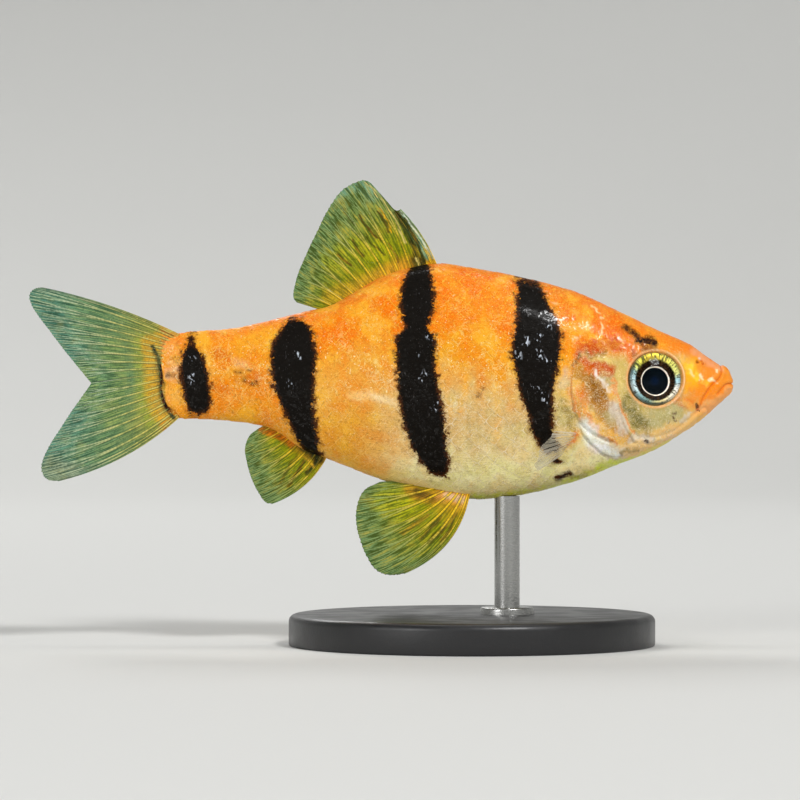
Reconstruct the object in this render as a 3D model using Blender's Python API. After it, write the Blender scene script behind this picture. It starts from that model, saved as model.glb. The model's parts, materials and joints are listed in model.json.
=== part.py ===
"""A life-size five-banded barb, a small deep-bodied aquarium fish, swimming level on a display stand.

The fish heads along +X with its back up, so its right flank faces -Y. The origin is on the floor,
under the middle of the whole fish. Sizes are written in millimetres from the swim axis, the level
line through the closed mouth, and are turned into metres by MM.
"""

import math

import bmesh
import bpy
from mathutils import Vector

MM = 0.001
GAP = 0.3  # between pieces that meet
AXIS_HEIGHT = 18.6  # of the swim axis over the floor
RING_SIDES = 36
RING_STEPS = 2  # rings from one body station to the next
FLANK_ROUNDNESS = 0.88  # 1 gives a plain ellipse, less gives flatter flanks

# Body stations from lips to tail: place along the fish, back, belly, half width.
BODY_STATIONS = (
    (24.99, 0.00, -0.50, 0.30),
    (24.84, 0.60, -0.84, 0.62),
    (24.40, 1.15, -1.28, 0.98),
    (23.70, 1.66, -2.02, 1.32),
    (22.00, 2.72, -3.22, 1.85),
    (19.46, 3.86, -4.76, 2.45),
    (16.90, 5.11, -5.78, 2.85),
    (13.50, 6.61, -7.10, 3.20),
    (10.10, 7.53, -7.95, 3.42),
    (6.70, 8.17, -8.28, 3.45),
    (4.00, 8.50, -7.85, 3.30),
    (0.50, 7.72, -7.02, 2.95),
    (-3.50, 5.55, -5.50, 2.35),
    (-5.50, 5.06, -4.75, 2.05),
    (-7.70, 4.50, -3.28, 1.65),
    (-10.40, 3.91, -2.76, 1.25),
    (-13.20, 3.70, -2.57, 0.92),
    (-14.70, 3.50, -2.50, 0.62),
    (-15.50, 2.60, -1.80, 0.30),
)
TAIL_CUT = -8.9  # where the trunk ends and the tail stem begins
BEYOND_SNOUT = 27.0  # a place in front of the whole fish, for the cutting blocks

# The gill opening is an arc of this circle, which also ends the head.
GILL_X, GILL_Z, GILL_RADIUS = 19.25, -0.36, 5.68
COVER_TOP_ANGLE, COVER_FOOT_ANGLE = 19.0, -46.0  # along that arc, from straight back
COVER_FRONT = (
    (14.25, 2.12), (15.00, 2.36), (15.80, 2.18), (16.28, 1.40), (16.42, 0.30), (16.55, -0.75),
    (17.08, -2.10), (17.72, -3.25), (17.84, -4.00), (17.25, -4.46), (16.35, -4.70), (15.68, -4.64),
)
COVER_THICKNESS = 0.8
COVER_RISE = 0.12  # how far the cover stands proud of the cheek

# The slit of the closed mouth, then the fold behind the upper jaw, down to the chin.
MOUTH_LINE = (
    (25.60, 0.08), (24.95, -0.02), (24.25, -0.25), (23.55, -0.75), (23.05, -1.35), (22.70, -2.05), (22.35, -3.90),
)
LIP_CORNER_X, LIP_REACH, LIP_SPREAD = 23.50, 1.06, 1.12
LIP_RADIUS, LIP_CORNER_SHARE, LIP_HALF_ANGLE = 0.44, 0.5, 84.0

EYE_X, EYE_Z = 19.61, 0.33
EYE_RADIUS, EYE_BULGE, EYE_DEPTH = 1.84, 0.50, 1.05
EYE_SINK = 0.12  # of the eye's widest ring under the cheek's surface
EYE_FORWARD, EYE_UPWARD = 0.20, 0.10  # how far the eyes look ahead and up, as the cheek slants there
RIM_RADIUS, RIM_TUBE = 2.24, 0.24
NOSTRILS = ((22.45, 1.42, 0.24), (23.02, 1.20, 0.17))  # along, up, radius

MEMBRANE_HALF = 0.26  # half the thickness of a fin between its rays
RAY_RISE = 0.13  # how far a ray stands out of the membrane at its root
EDGE_HALF = 0.07  # half the thickness at a fin's free edge
ROOT_SINK = 0.9  # how far a fin is drawn into the body before it is cut to the skin
FIN_STEPS = (0.0, 0.22, 0.42, 0.60, 0.78, 0.92, 1.0)  # along each ray
VALLEY_DIP = 0.012  # how far the margin draws in between rays, as a share of the ray

# How many rays each fin has, how far its first and last rays bow as a share of their length, and
# the direction in which its root is drawn into the body.
DORSAL_RAYS, DORSAL_BOW, DORSAL_INWARD = 11, (0.060, 0.01), (0.2, -0.98)
ANAL_RAYS, ANAL_BOW, ANAL_INWARD = 8, (-0.11, -0.01), (0.5, 0.87)
PELVIC_RAYS, PELVIC_BOW, PELVIC_INWARD = 9, (-0.145, 0.02), (0.0, 0.9)
CAUDAL_UPPER_RAYS, CAUDAL_UPPER_BOW = 10, (0.030, 0.0)
CAUDAL_LOWER_RAYS, CAUDAL_LOWER_BOW = 9, (0.0, -0.065)
PECTORAL_RAYS = 11

# Each fin is drawn in side view: its root from front to back, then the free edge in that order.
DORSAL_ROOT = ((4.15, 8.45), (2.20, 8.10), (-0.30, 7.00), (-3.20, 5.60))
DORSAL_EDGE = (
    (1.45, 12.35), (1.10, 12.28), (0.00, 13.45), (-0.98, 14.40), (-1.90, 14.22),
    (-2.75, 13.70), (-3.65, 12.50), (-4.50, 10.80), (-5.35, 9.00), (-5.95, 7.50), (-6.18, 6.05), (-5.95, 5.72),
)
ANAL_ROOT = ((-3.95, -5.45), (-5.40, -4.80), (-6.70, -3.75), (-7.90, -3.20))
ANAL_EDGE = (
    (-7.70, -8.60), (-8.15, -8.50), (-8.70, -7.75), (-9.20, -6.70), (-9.50, -5.60), (-9.62, -4.60),
    (-9.30, -3.75), (-8.75, -3.30),
)
CAUDAL_UPPER_ROOT = ((-14.20, 3.45), (-15.00, 2.60), (-15.25, 1.50), (-15.25, 0.72))
CAUDAL_UPPER_EDGE = (
    (-24.45, 6.76), (-24.98, 6.30), (-24.72, 5.40), (-23.15, 3.22), (-21.60, 1.25), (-20.55, 0.10),
)
CAUDAL_LOWER_ROOT = ((-15.25, 0.42), (-15.20, -0.70), (-15.00, -1.60), (-14.20, -2.40))
CAUDAL_LOWER_EDGE = (
    (-20.60, -0.22), (-21.55, -1.45), (-22.60, -3.00), (-23.65, -4.70), (-24.12, -6.00), (-23.80, -6.80),
    (-22.90, -7.00),
)
PELVIC_ROOT = ((6.45, -8.05), (5.90, -8.05), (5.40, -7.95), (4.90, -7.75))
PELVIC_EDGE = (
    (1.70, -13.42), (0.70, -13.56), (-0.20, -13.25), (-1.00, -12.20), (-1.50, -10.95), (-1.75, -9.60),
    (-1.60, -8.45), (-1.10, -7.60), (-0.10, -7.05),
)
PELVIC_Y, PELVIC_SPLAY = 1.05, 20.0

# The pectoral fin is drawn from its root, along and across its own length.
PECTORAL_CENTRE = (13.55, 1.9, -4.15)
PECTORAL_AXIS = (-0.36, 0.93, -0.10)
PECTORAL_BASE = (-0.60, 0.0, -0.80)
PECTORAL_ROOT = ((-0.7, -0.65), (-0.7, -0.22), (-0.7, 0.22), (-0.7, 0.65))
PECTORAL_EDGE = (
    (6.95, -1.85), (7.30, -1.35), (7.30, -0.60), (6.85, 0.35), (6.05, 1.15), (5.00, 1.70), (3.90, 1.90),
)

BASE_X, BASE_RADIUS, BASE_HEIGHT, BASE_BEVEL = 6.5, 13.0, 2.2, 0.5
BOSS_RADIUS, BOSS_HEIGHT = 1.9, 0.5
ROD_X, ROD_RADIUS = 9.0, 0.9
ROUND_SIDES = 48

SKIN_ORANGE = (0.90, 0.36, 0.06)
COVER_GOLD = (0.78, 0.52, 0.20)
BELLY_CREAM = (0.72, 0.60, 0.34)
FIN_GREEN = (0.28, 0.42, 0.12)
TAIL_GREEN = (0.22, 0.36, 0.24)
CLEAR_FIN = (0.75, 0.74, 0.62)
EYE_DARK = (0.03, 0.03, 0.04)
STAND_BLACK = (0.05, 0.05, 0.055)
ROD_STEEL = (0.62, 0.62, 0.62)


def clear_scene():
    for leftover in list(bpy.data.objects):
        bpy.data.objects.remove(leftover, do_unlink=True)


def finish_material(name, colour, roughness, metallic=0.0):
    material = bpy.data.materials.new(name)
    material.use_nodes = True
    shader = material.node_tree.nodes["Principled BSDF"]
    shader.inputs["Base Color"].default_value = (*colour, 1.0)
    shader.inputs["Roughness"].default_value = roughness
    shader.inputs["Metallic"].default_value = metallic
    return material


def to_object(name, mesh_build):
    """Turns a bmesh, in millimetres from the swim axis, into a named object in metres."""
    bmesh.ops.translate(mesh_build, verts=mesh_build.verts, vec=(0, 0, AXIS_HEIGHT))
    bmesh.ops.scale(mesh_build, verts=mesh_build.verts, vec=(MM, MM, MM))
    bmesh.ops.recalc_face_normals(mesh_build, faces=mesh_build.faces)
    mesh = bpy.data.meshes.new(name)
    mesh_build.to_mesh(mesh)
    mesh_build.free()
    made = bpy.data.objects.new(name, mesh)
    bpy.context.scene.collection.objects.link(made)
    return made


def combine(target, other, operation):
    """Applies one Boolean of `other` to `target` and removes `other`."""
    modifier = target.modifiers.new(operation.lower(), "BOOLEAN")
    modifier.operation = operation
    modifier.solver = "EXACT"
    modifier.object = other
    bpy.context.view_layer.objects.active = target
    bpy.ops.object.modifier_apply(modifier=modifier.name)
    bpy.data.objects.remove(other, do_unlink=True)


def keep_largest_surface(made):
    """Drops every loose scrap and sealed hollow that the cuts leave, and keeps the one main surface."""
    build = bmesh.new()
    build.from_mesh(made.data)
    unseen = set(build.faces)
    surfaces = []
    while unseen:
        waiting = [unseen.pop()]
        surface = []
        while waiting:
            face = waiting.pop()
            surface.append(face)
            for edge in face.edges:
                for near in edge.link_faces:
                    if near in unseen:
                        unseen.discard(near)
                        waiting.append(near)
        surfaces.append(surface)
    main = max(surfaces, key=lambda faces: sum(face.calc_area() for face in faces))
    scraps = [face for surface in surfaces if surface is not main for face in surface]
    bmesh.ops.delete(build, geom=scraps, context="FACES")
    build.to_mesh(made.data)
    build.free()


def dress(made, material, smooth_angle=40.0):
    made.data.materials.clear()
    made.data.materials.append(material)
    made.data.shade_smooth()
    made.data.set_sharp_from_angle(angle=math.radians(smooth_angle))


def smooth_path(points, steps):
    """A smooth curve through the given points, any number of numbers each, `steps` to a span."""
    count = len(points)
    knots = [0.0]
    for before, after in zip(points, points[1:]):
        knots.append(knots[-1] + math.sqrt(math.dist(before, after)))
    slopes = []
    for i in range(count):
        low, high = max(i - 1, 0), min(i + 1, count - 1)
        if 0 < i < count - 1:
            back_span, next_span = knots[i] - knots[low], knots[high] - knots[i]
            slope = [
                ((b - a) / back_span * next_span + (c - b) / next_span * back_span) / (back_span + next_span)
                for a, b, c in zip(points[low], points[i], points[high])
            ]
        else:
            slope = [(b - a) / (knots[high] - knots[low]) for a, b in zip(points[low], points[high])]
        slopes.append(slope)
    path = []
    for i in range(count - 1):
        span = knots[i + 1] - knots[i]
        for step in range(steps + (i == count - 2)):
            t = step / steps
            start = 2 * t**3 - 3 * t**2 + 1
            end = 1 - start
            leave = (t**3 - 2 * t**2 + t) * span
            arrive = (t**3 - t**2) * span
            path.append(tuple(
                start * a + leave * m + end * b + arrive * n
                for a, m, b, n in zip(points[i], slopes[i], points[i + 1], slopes[i + 1])
            ))
    return path


def body_rings(grow=0.0, thin=0.0):
    """The body's rings from lips to tail. `grow` moves the whole skin out, `thin` only its flanks in."""
    rings = []
    for x, back, belly, half in smooth_path(BODY_STATIONS, RING_STEPS):
        middle, half_height = (back + belly) / 2, (back - belly) / 2 + grow
        half_width = max(half + grow - thin, 0.05)
        rings.append((x, middle, half_height, half_width))
    if grow:
        x, middle, half_height, half_width = rings[0]
        rings.insert(0, (x + grow, middle, half_height * 0.6, half_width * 0.6))
        x, middle, half_height, half_width = rings[-1]
        rings.append((x - grow, middle, half_height * 0.9, half_width * 0.9))
    return rings


def ring_point(ring, turn):
    """The point of a ring at `turn` radians from the back, going down the left flank."""
    x, middle, half_height, half_width = ring
    side = math.sin(turn)
    y = half_width * math.copysign(abs(side) ** FLANK_ROUNDNESS, side) if abs(side) > 1e-9 else 0.0
    return (x, y, middle + half_height * math.cos(turn))


def loft(name, rings):
    """A closed skin through the rings, with a flat face on each end."""
    build = bmesh.new()
    loops = []
    for ring in rings:
        turns = [2 * math.pi * i / RING_SIDES for i in range(RING_SIDES)]
        loops.append([build.verts.new(ring_point(ring, turn)) for turn in turns])
    for fore, aft in zip(loops, loops[1:]):
        for i in range(RING_SIDES):
            j = (i + 1) % RING_SIDES
            build.faces.new((fore[i], fore[j], aft[j], aft[i]))
    build.faces.new(loops[0])
    build.faces.new(loops[-1])
    return to_object(name, build)


def whole_body(name, grow=0.0, thin=0.0):
    return loft(name, body_rings(grow, thin))


def between(rings, x_front, x_rear):
    """The rings that lie between two flat cuts, with a ring set exactly on each cut."""
    def ring_at(x):
        for fore, aft in zip(rings, rings[1:]):
            if fore[0] >= x >= aft[0]:
                share = (fore[0] - x) / (fore[0] - aft[0])
                return tuple(a + (b - a) * share for a, b in zip(fore, aft))
        return None

    cut_rings = [ring_at(x_front)] if x_front < rings[0][0] else []
    cut_rings += [ring for ring in rings if x_rear + 0.1 < ring[0] < x_front - 0.1]
    cut_rings += [ring_at(x_rear)] if x_rear > rings[-1][0] else [rings[-1]]
    return cut_rings


def side_prism(name, outline, y_low=-6.0, y_high=6.0):
    """A block whose side view is `outline`, reaching from y_low to y_high across the fish."""
    build = bmesh.new()
    near = [build.verts.new((x, y_low, z)) for x, z in outline]
    face = build.faces.new(near)
    grown = bmesh.ops.extrude_face_region(build, geom=[face])
    far = [item for item in grown["geom"] if isinstance(item, bmesh.types.BMVert)]
    bmesh.ops.translate(build, verts=far, vec=(0, y_high - y_low, 0))
    return to_object(name, build)


def gill_arc(radius, from_angle, to_angle, steps=24):
    """Points of the gill circle. Angle 0 is straight back, and grows towards the back of the fish."""
    points = []
    for i in range(steps + 1):
        angle = math.radians(from_angle + (to_angle - from_angle) * i / steps)
        points.append((GILL_X - radius * math.cos(angle), GILL_Z + radius * math.sin(angle)))
    return points


def head_side(radius):
    """Side view of all that lies in front of the gill circle."""
    high, low = 12.0, -12.0
    arc = gill_arc(radius, 90.0, -90.0, 36)
    return [(BEYOND_SNOUT, high), (GILL_X, high), *arc, (GILL_X, low), (BEYOND_SNOUT, low)]


def offset_line(points, distance):
    """The same open line moved sideways, to its left by a positive distance."""
    moved = []
    for i, point in enumerate(points):
        before, after = points[max(i - 1, 0)], points[min(i + 1, len(points) - 1)]
        along = Vector((after[0] - before[0], after[1] - before[1])).normalized()
        moved.append((point[0] - along.y * distance, point[1] + along.x * distance))
    return moved


def jaw_side(distance):
    """Side view of the lower jaw, with its upper edge moved down from the mouth line by `distance`."""
    line = offset_line(smooth_path(MOUTH_LINE, 3), distance)
    low = -6.0
    return [*line, (line[-1][0], low), (BEYOND_SNOUT, low), (BEYOND_SNOUT, line[0][1])]


def cover_side(widen):
    """Side view of a gill cover, or of its pocket in the head where `widen` is more than 0."""
    top, foot = COVER_TOP_ANGLE, COVER_FOOT_ANGLE
    rear_radius = GILL_RADIUS + (1.0 if widen else 0.0)
    widen_angle = math.degrees(widen / GILL_RADIUS)
    rear = gill_arc(rear_radius, foot - widen_angle, top + widen_angle, 16)
    return [*rear, *offset_line(smooth_path(COVER_FRONT, 2), widen)]


def ball(name, centre, radius):
    build = bmesh.new()
    bmesh.ops.create_uvsphere(build, u_segments=12, v_segments=8, radius=radius)
    bmesh.ops.translate(build, verts=build.verts, vec=centre)
    return to_object(name, build)


def tube_along(name, points, radius, closed):
    """A round tube through the points, each with its share of the full radius. Open ends are flat."""
    curve = bpy.data.curves.new(name, "CURVE")
    curve.dimensions = "3D"
    spline = curve.splines.new("POLY")
    spline.points.add(len(points) - 1)
    for spot, (x, y, z, share) in zip(spline.points, points):
        spot.co = (x * MM, y * MM, (z + AXIS_HEIGHT) * MM, 1.0)
        spot.radius = share
    spline.use_cyclic_u = closed
    curve.bevel_depth = radius * MM
    curve.bevel_resolution = 2  # eight sides
    curve.use_fill_caps = not closed
    drawn = bpy.data.objects.new(name + "_curve", curve)
    bpy.context.scene.collection.objects.link(drawn)
    graph = bpy.context.evaluated_depsgraph_get()
    mesh = bpy.data.meshes.new_from_object(drawn.evaluated_get(graph))
    bpy.data.objects.remove(drawn, do_unlink=True)
    build = bmesh.new()
    build.from_mesh(mesh)
    bmesh.ops.remove_doubles(build, verts=build.verts, dist=1e-6)
    bmesh.ops.recalc_face_normals(build, faces=build.faces)
    build.to_mesh(mesh)
    build.free()
    made = bpy.data.objects.new(name, mesh)
    bpy.context.scene.collection.objects.link(made)
    return made


def mouth_height(x):
    """The height of the mouth slit at x."""
    for (x_front, z_front), (x_rear, z_rear) in zip(MOUTH_LINE, MOUTH_LINE[1:]):
        if x_front >= x >= x_rear:
            return z_front + (z_rear - z_front) * (x_front - x) / (x_front - x_rear)
    return MOUTH_LINE[-1][1]


def lips():
    """One swelling round the mouth, which the slit then parts into an upper and a lower lip."""
    points = []
    count = 16
    for i in range(count + 1):
        angle = math.radians(-LIP_HALF_ANGLE + 2 * LIP_HALF_ANGLE * i / count)
        x = LIP_CORNER_X + LIP_REACH * math.cos(angle)
        fullness = LIP_CORNER_SHARE + (1 - LIP_CORNER_SHARE) * math.cos(angle)
        points.append((x, LIP_SPREAD * math.sin(angle), mouth_height(x), fullness))
    return tube_along("lips", points, LIP_RADIUS, closed=False)


def flank_y(x, z):
    """Half the width of the body at a point of its side view."""
    rings = body_rings()
    for fore, aft in zip(rings, rings[1:]):
        if fore[0] >= x >= aft[0]:
            share = (fore[0] - x) / (fore[0] - aft[0])
            _, middle, half_height, half_width = (a + (b - a) * share for a, b in zip(fore, aft))
            rise = min(abs(z - middle) / half_height, 1.0)
            return half_width * math.sqrt(1 - rise**2) ** FLANK_ROUNDNESS
    return 0.0


def orbit_rim(side):
    """A low ring of skin round one eye, lying on the cheek."""
    points = []
    count = 32
    for i in range(count):
        angle = 2 * math.pi * i / count
        x, z = EYE_X + RIM_RADIUS * math.cos(angle), EYE_Z + RIM_RADIUS * math.sin(angle)
        points.append((x, side * flank_y(x, z), z, 1.0))
    return tube_along("orbit_rim", points, RIM_TUBE, closed=True)


def eye_shape(name, side, grow=0.0):
    """An eye, shallow in front of its widest ring and deep behind it. `grow` turns it into its socket."""
    build = bmesh.new()
    bmesh.ops.create_uvsphere(build, u_segments=32, v_segments=12, radius=1.0)
    for vert in build.verts:
        depth = EYE_BULGE if vert.co.z > 0 else EYE_DEPTH
        vert.co.xy *= EYE_RADIUS + grow
        vert.co.z *= depth + grow
    outward = Vector((EYE_FORWARD, side, EYE_UPWARD)).normalized()
    turn = outward.to_track_quat("Z", "Y").to_matrix()
    bmesh.ops.rotate(build, verts=build.verts, cent=(0, 0, 0), matrix=turn)
    centre_y = side * (flank_y(EYE_X, EYE_Z) - EYE_SINK)
    bmesh.ops.translate(build, verts=build.verts, vec=(EYE_X, centre_y, EYE_Z))
    return to_object(name, build)


def front_body(name):
    """The whole body with lips and eye rims raised on it, from which the head and jaw are parted."""
    made = whole_body(name)
    combine(made, lips(), "UNION")
    for side in (-1, 1):
        combine(made, orbit_rim(side), "UNION")
    return made


def make_head(material):
    head = front_body("head")
    combine(head, side_prism("head_block", head_side(GILL_RADIUS)), "INTERSECT")
    combine(head, side_prism("jaw_block", jaw_side(0.0)), "DIFFERENCE")
    for side in (-1, 1):
        y_low, y_high = sorted((side * 0.2, side * 6.0))
        pocket = side_prism("pocket", cover_side(GAP), y_low, y_high)
        combine(pocket, whole_body("core", thin=COVER_THICKNESS + GAP), "DIFFERENCE")
        combine(head, pocket, "DIFFERENCE")
        combine(head, eye_shape("socket", side, GAP), "DIFFERENCE")
        for x, z, radius in NOSTRILS:
            pit = ball("nostril", (x, side * flank_y(x, z), z), radius)
            combine(head, pit, "DIFFERENCE")
    keep_largest_surface(head)
    dress(head, material)


def make_jaw(material):
    jaw = front_body("lower_jaw")
    combine(jaw, side_prism("jaw_block", jaw_side(GAP)), "INTERSECT")
    keep_largest_surface(jaw)
    dress(jaw, material)


def make_gill_cover(name, side, material):
    cover = whole_body(name, grow=COVER_RISE)
    y_low, y_high = sorted((side * 0.2, side * 6.0))
    combine(cover, side_prism("cover_block", cover_side(0.0), y_low, y_high), "INTERSECT")
    combine(cover, whole_body("core", thin=COVER_THICKNESS), "DIFFERENCE")
    keep_largest_surface(cover)
    dress(cover, material)


def make_trunk(material):
    trunk = loft("trunk", between(body_rings(), BEYOND_SNOUT, TAIL_CUT + GAP / 2))
    combine(trunk, side_prism("head_block", head_side(GILL_RADIUS + GAP)), "DIFFERENCE")
    keep_largest_surface(trunk)
    dress(trunk, material)


def make_tail_stem(material):
    behind_tail = -30.0
    stem = loft("tail_stem", between(body_rings(), TAIL_CUT - GAP / 2, behind_tail))
    dress(stem, material)


def make_eye(name, side, material):
    dress(eye_shape(name, side), material)


def at_share(path, share):
    """The point of a dense path at a share of its length."""
    lengths = [0.0]
    for before, after in zip(path, path[1:]):
        lengths.append(lengths[-1] + math.dist(before, after))
    wanted = share * lengths[-1]
    for i in range(1, len(path)):
        if wanted <= lengths[i] or i == len(path) - 1:
            t = (wanted - lengths[i - 1]) / (lengths[i] - lengths[i - 1])
            return tuple(a + (b - a) * t for a, b in zip(path[i - 1], path[i]))
    return path[-1]


def fin_lines(ray_count):
    """Shares of the fin at which a line runs from root to edge, and whether it is a ray's crest."""
    pitch = 1.0 / (ray_count - 1)
    foot = 0.24 * pitch  # half a ray's width
    lines = []
    for i in range(ray_count):
        share = i * pitch
        lines += [(share - foot, False), (share, True), (share + foot, False)]
    return lines[1:-1]


def fin_surface(name, root, edge, ray_count, place, bow=(0.0, 0.0)):
    """One closed fin whose rays are ridges in both faces of its membrane.

    `place` turns a point of the side view into a point in space and the way across the fin there.
    """
    bow_front, bow_rear = bow
    root_path, edge_path = smooth_path(root, 6), smooth_path(edge, 6)
    build = bmesh.new()
    left_face, right_face = [], []
    for share, crest in fin_lines(ray_count):
        start, end = at_share(root_path, share), at_share(edge_path, share)
        along = Vector((end[0] - start[0], end[1] - start[1]))
        if not crest:
            along *= 1 - VALLEY_DIP
        across = Vector((along.y, -along.x))
        bend = (bow_front + (bow_rear - bow_front) * share) * 4
        left_line, right_line = [], []
        for step in FIN_STEPS:
            spot = Vector(start) + along * step + across * (bend * step * (1 - step))
            centre, normal = place(spot.x, spot.y)
            taper = max(0.0, (step - 0.78) / 0.22)
            half = MEMBRANE_HALF + (EDGE_HALF - MEMBRANE_HALF) * taper
            half += RAY_RISE * (1 - 0.75 * step) * crest
            left_line.append(build.verts.new(Vector(centre) + Vector(normal) * half))
            right_line.append(build.verts.new(Vector(centre) - Vector(normal) * half))
        left_face.append(left_line)
        right_face.append(right_line)
    skin_fin(build, left_face, right_face)
    return to_object(name, build)


def skin_fin(build, left_face, right_face):
    """Closes a fin's two faces, split into triangles alike, and the rim that joins them."""
    steps = len(FIN_STEPS)
    for i in range(len(left_face) - 1):
        for j in range(steps - 1):
            for grid in (left_face, right_face):
                a, b, c, d = grid[i][j], grid[i + 1][j], grid[i + 1][j + 1], grid[i][j + 1]
                build.faces.new((a, b, c))
                build.faces.new((a, c, d))
        for j in (0, steps - 1):
            build.faces.new((left_face[i][j], right_face[i][j], right_face[i + 1][j]))
            build.faces.new((left_face[i][j], right_face[i + 1][j], left_face[i + 1][j]))
    for i in (0, len(left_face) - 1):
        for j in range(steps - 1):
            build.faces.new((left_face[i][j], right_face[i][j], right_face[i][j + 1]))
            build.faces.new((left_face[i][j], right_face[i][j + 1], left_face[i][j + 1]))


def cut_to_skin(fin, material):
    """Ends a fin's root on the skin that it grows from, less the gap."""
    combine(fin, whole_body("skin_with_gap", grow=GAP), "DIFFERENCE")
    keep_largest_surface(fin)
    dress(fin, material, smooth_angle=30.0)


def sunk_root(root, inward):
    return tuple((x + inward[0] * ROOT_SINK, z + inward[1] * ROOT_SINK) for x, z in root)


def on_midline(x, z):
    return (x, 0.0, z), (0.0, 1.0, 0.0)


def make_median_fins(leaf, tail):
    dorsal_root = sunk_root(DORSAL_ROOT, DORSAL_INWARD)
    dorsal = fin_surface("dorsal_fin", dorsal_root, DORSAL_EDGE, DORSAL_RAYS, on_midline, DORSAL_BOW)
    cut_to_skin(dorsal, leaf)
    anal_root = sunk_root(ANAL_ROOT, ANAL_INWARD)
    anal = fin_surface("anal_fin", anal_root, ANAL_EDGE, ANAL_RAYS, on_midline, ANAL_BOW)
    cut_to_skin(anal, leaf)
    upper = fin_surface(
        "caudal_fin_upper", CAUDAL_UPPER_ROOT, CAUDAL_UPPER_EDGE, CAUDAL_UPPER_RAYS, on_midline,
        CAUDAL_UPPER_BOW,
    )
    cut_to_skin(upper, tail)
    lower = fin_surface(
        "caudal_fin_lower", CAUDAL_LOWER_ROOT, CAUDAL_LOWER_EDGE, CAUDAL_LOWER_RAYS, on_midline,
        CAUDAL_LOWER_BOW,
    )
    cut_to_skin(lower, tail)


def make_pelvic_fin(name, side, material):
    lean = math.radians(PELVIC_SPLAY)
    root_level = PELVIC_ROOT[0][1]

    def on_splayed_leaf(x, z):
        y = side * (PELVIC_Y + (root_level - z) * math.tan(lean))
        return (x, y, z), (0.0, side * math.cos(lean), math.sin(lean))

    root = sunk_root(PELVIC_ROOT, PELVIC_INWARD)
    fin = fin_surface(name, root, PELVIC_EDGE, PELVIC_RAYS, on_splayed_leaf, PELVIC_BOW)
    cut_to_skin(fin, material)


def make_pectoral_fin(name, side, material):
    centre = Vector((PECTORAL_CENTRE[0], side * PECTORAL_CENTRE[1], PECTORAL_CENTRE[2]))
    along = Vector((PECTORAL_AXIS[0], side * PECTORAL_AXIS[1], PECTORAL_AXIS[2])).normalized()
    base = Vector(PECTORAL_BASE)
    across = (base - along * base.dot(along)).normalized()
    normal = along.cross(across)

    def on_spread_leaf(reach, spread):
        return centre + along * reach + across * spread, normal

    fin = fin_surface(name, PECTORAL_ROOT, PECTORAL_EDGE, PECTORAL_RAYS, on_spread_leaf)
    cut_to_skin(fin, material)


def turned(name, x_centre, profile):
    """A round piece turned about a post at x_centre. The profile runs down its outer side, as radius
    and height over the floor."""
    build = bmesh.new()
    loops = []
    for radius, height in profile:
        loop = []
        for i in range(ROUND_SIDES):
            angle = 2 * math.pi * i / ROUND_SIDES
            spot = (x_centre + radius * math.cos(angle), radius * math.sin(angle), height - AXIS_HEIGHT)
            loop.append(build.verts.new(spot))
        loops.append(loop)
    for high, low in zip(loops, loops[1:]):
        for i in range(ROUND_SIDES):
            j = (i + 1) % ROUND_SIDES
            build.faces.new((high[i], low[i], low[j], high[j]))
    build.faces.new(loops[0])
    build.faces.new(loops[-1])
    return to_object(name, build)


def make_stand(base_material, rod_material):
    base = turned("stand_base", BASE_X, (
        (BASE_RADIUS - BASE_BEVEL, BASE_HEIGHT),
        (BASE_RADIUS, BASE_HEIGHT - BASE_BEVEL),
        (BASE_RADIUS, 0.0),
    ))
    boss_sink = 0.5
    boss = turned("boss", ROD_X, (
        (BOSS_RADIUS - 0.15, BASE_HEIGHT + BOSS_HEIGHT),
        (BOSS_RADIUS, BASE_HEIGHT + BOSS_HEIGHT - 0.15),
        (BOSS_RADIUS, BASE_HEIGHT - boss_sink),
    ))
    combine(base, boss, "UNION")
    dress(base, base_material)
    into_belly = AXIS_HEIGHT - 6.0
    rod = turned("stand_rod", ROD_X, (
        (ROD_RADIUS, into_belly),
        (ROD_RADIUS, BASE_HEIGHT + BOSS_HEIGHT + GAP),
    ))
    combine(rod, whole_body("skin_with_gap", grow=GAP), "DIFFERENCE")
    keep_largest_surface(rod)
    dress(rod, rod_material)


def main():
    clear_scene()
    skin = finish_material("orange_skin", SKIN_ORANGE, 0.35)
    cover_skin = finish_material("gold_cover", COVER_GOLD, 0.30, 0.2)
    cream = finish_material("cream_jaw", BELLY_CREAM, 0.35)
    leaf = finish_material("green_fin", FIN_GREEN, 0.40)
    tail = finish_material("tail_fin", TAIL_GREEN, 0.40)
    clear = finish_material("clear_fin", CLEAR_FIN, 0.30)
    eye = finish_material("dark_eye", EYE_DARK, 0.10)
    base = finish_material("stand_black", STAND_BLACK, 0.45)
    rod = finish_material("rod_steel", ROD_STEEL, 0.30, 1.0)
    make_head(skin)
    make_jaw(cream)
    make_trunk(skin)
    make_tail_stem(skin)
    for word, side in (("right", -1), ("left", 1)):
        make_gill_cover("gill_cover_" + word, side, cover_skin)
        make_eye("eye_" + word, side, eye)
        make_pelvic_fin("pelvic_fin_" + word, side, leaf)
        make_pectoral_fin("pectoral_fin_" + word, side, clear)
    make_median_fins(leaf, tail)
    make_stand(base, rod)


main()
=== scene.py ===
"""The looks of a life-size five-banded barb on a display stand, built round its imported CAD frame.

The fish heads along +X, its back is up, and the picture shows its right flank, at -Y. Sizes in the
code are in millimetres from the swim axis, the level line through the closed mouth, and the panel's
sizes are in metres, as Blender keeps them.
"""

import json
import math

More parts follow.
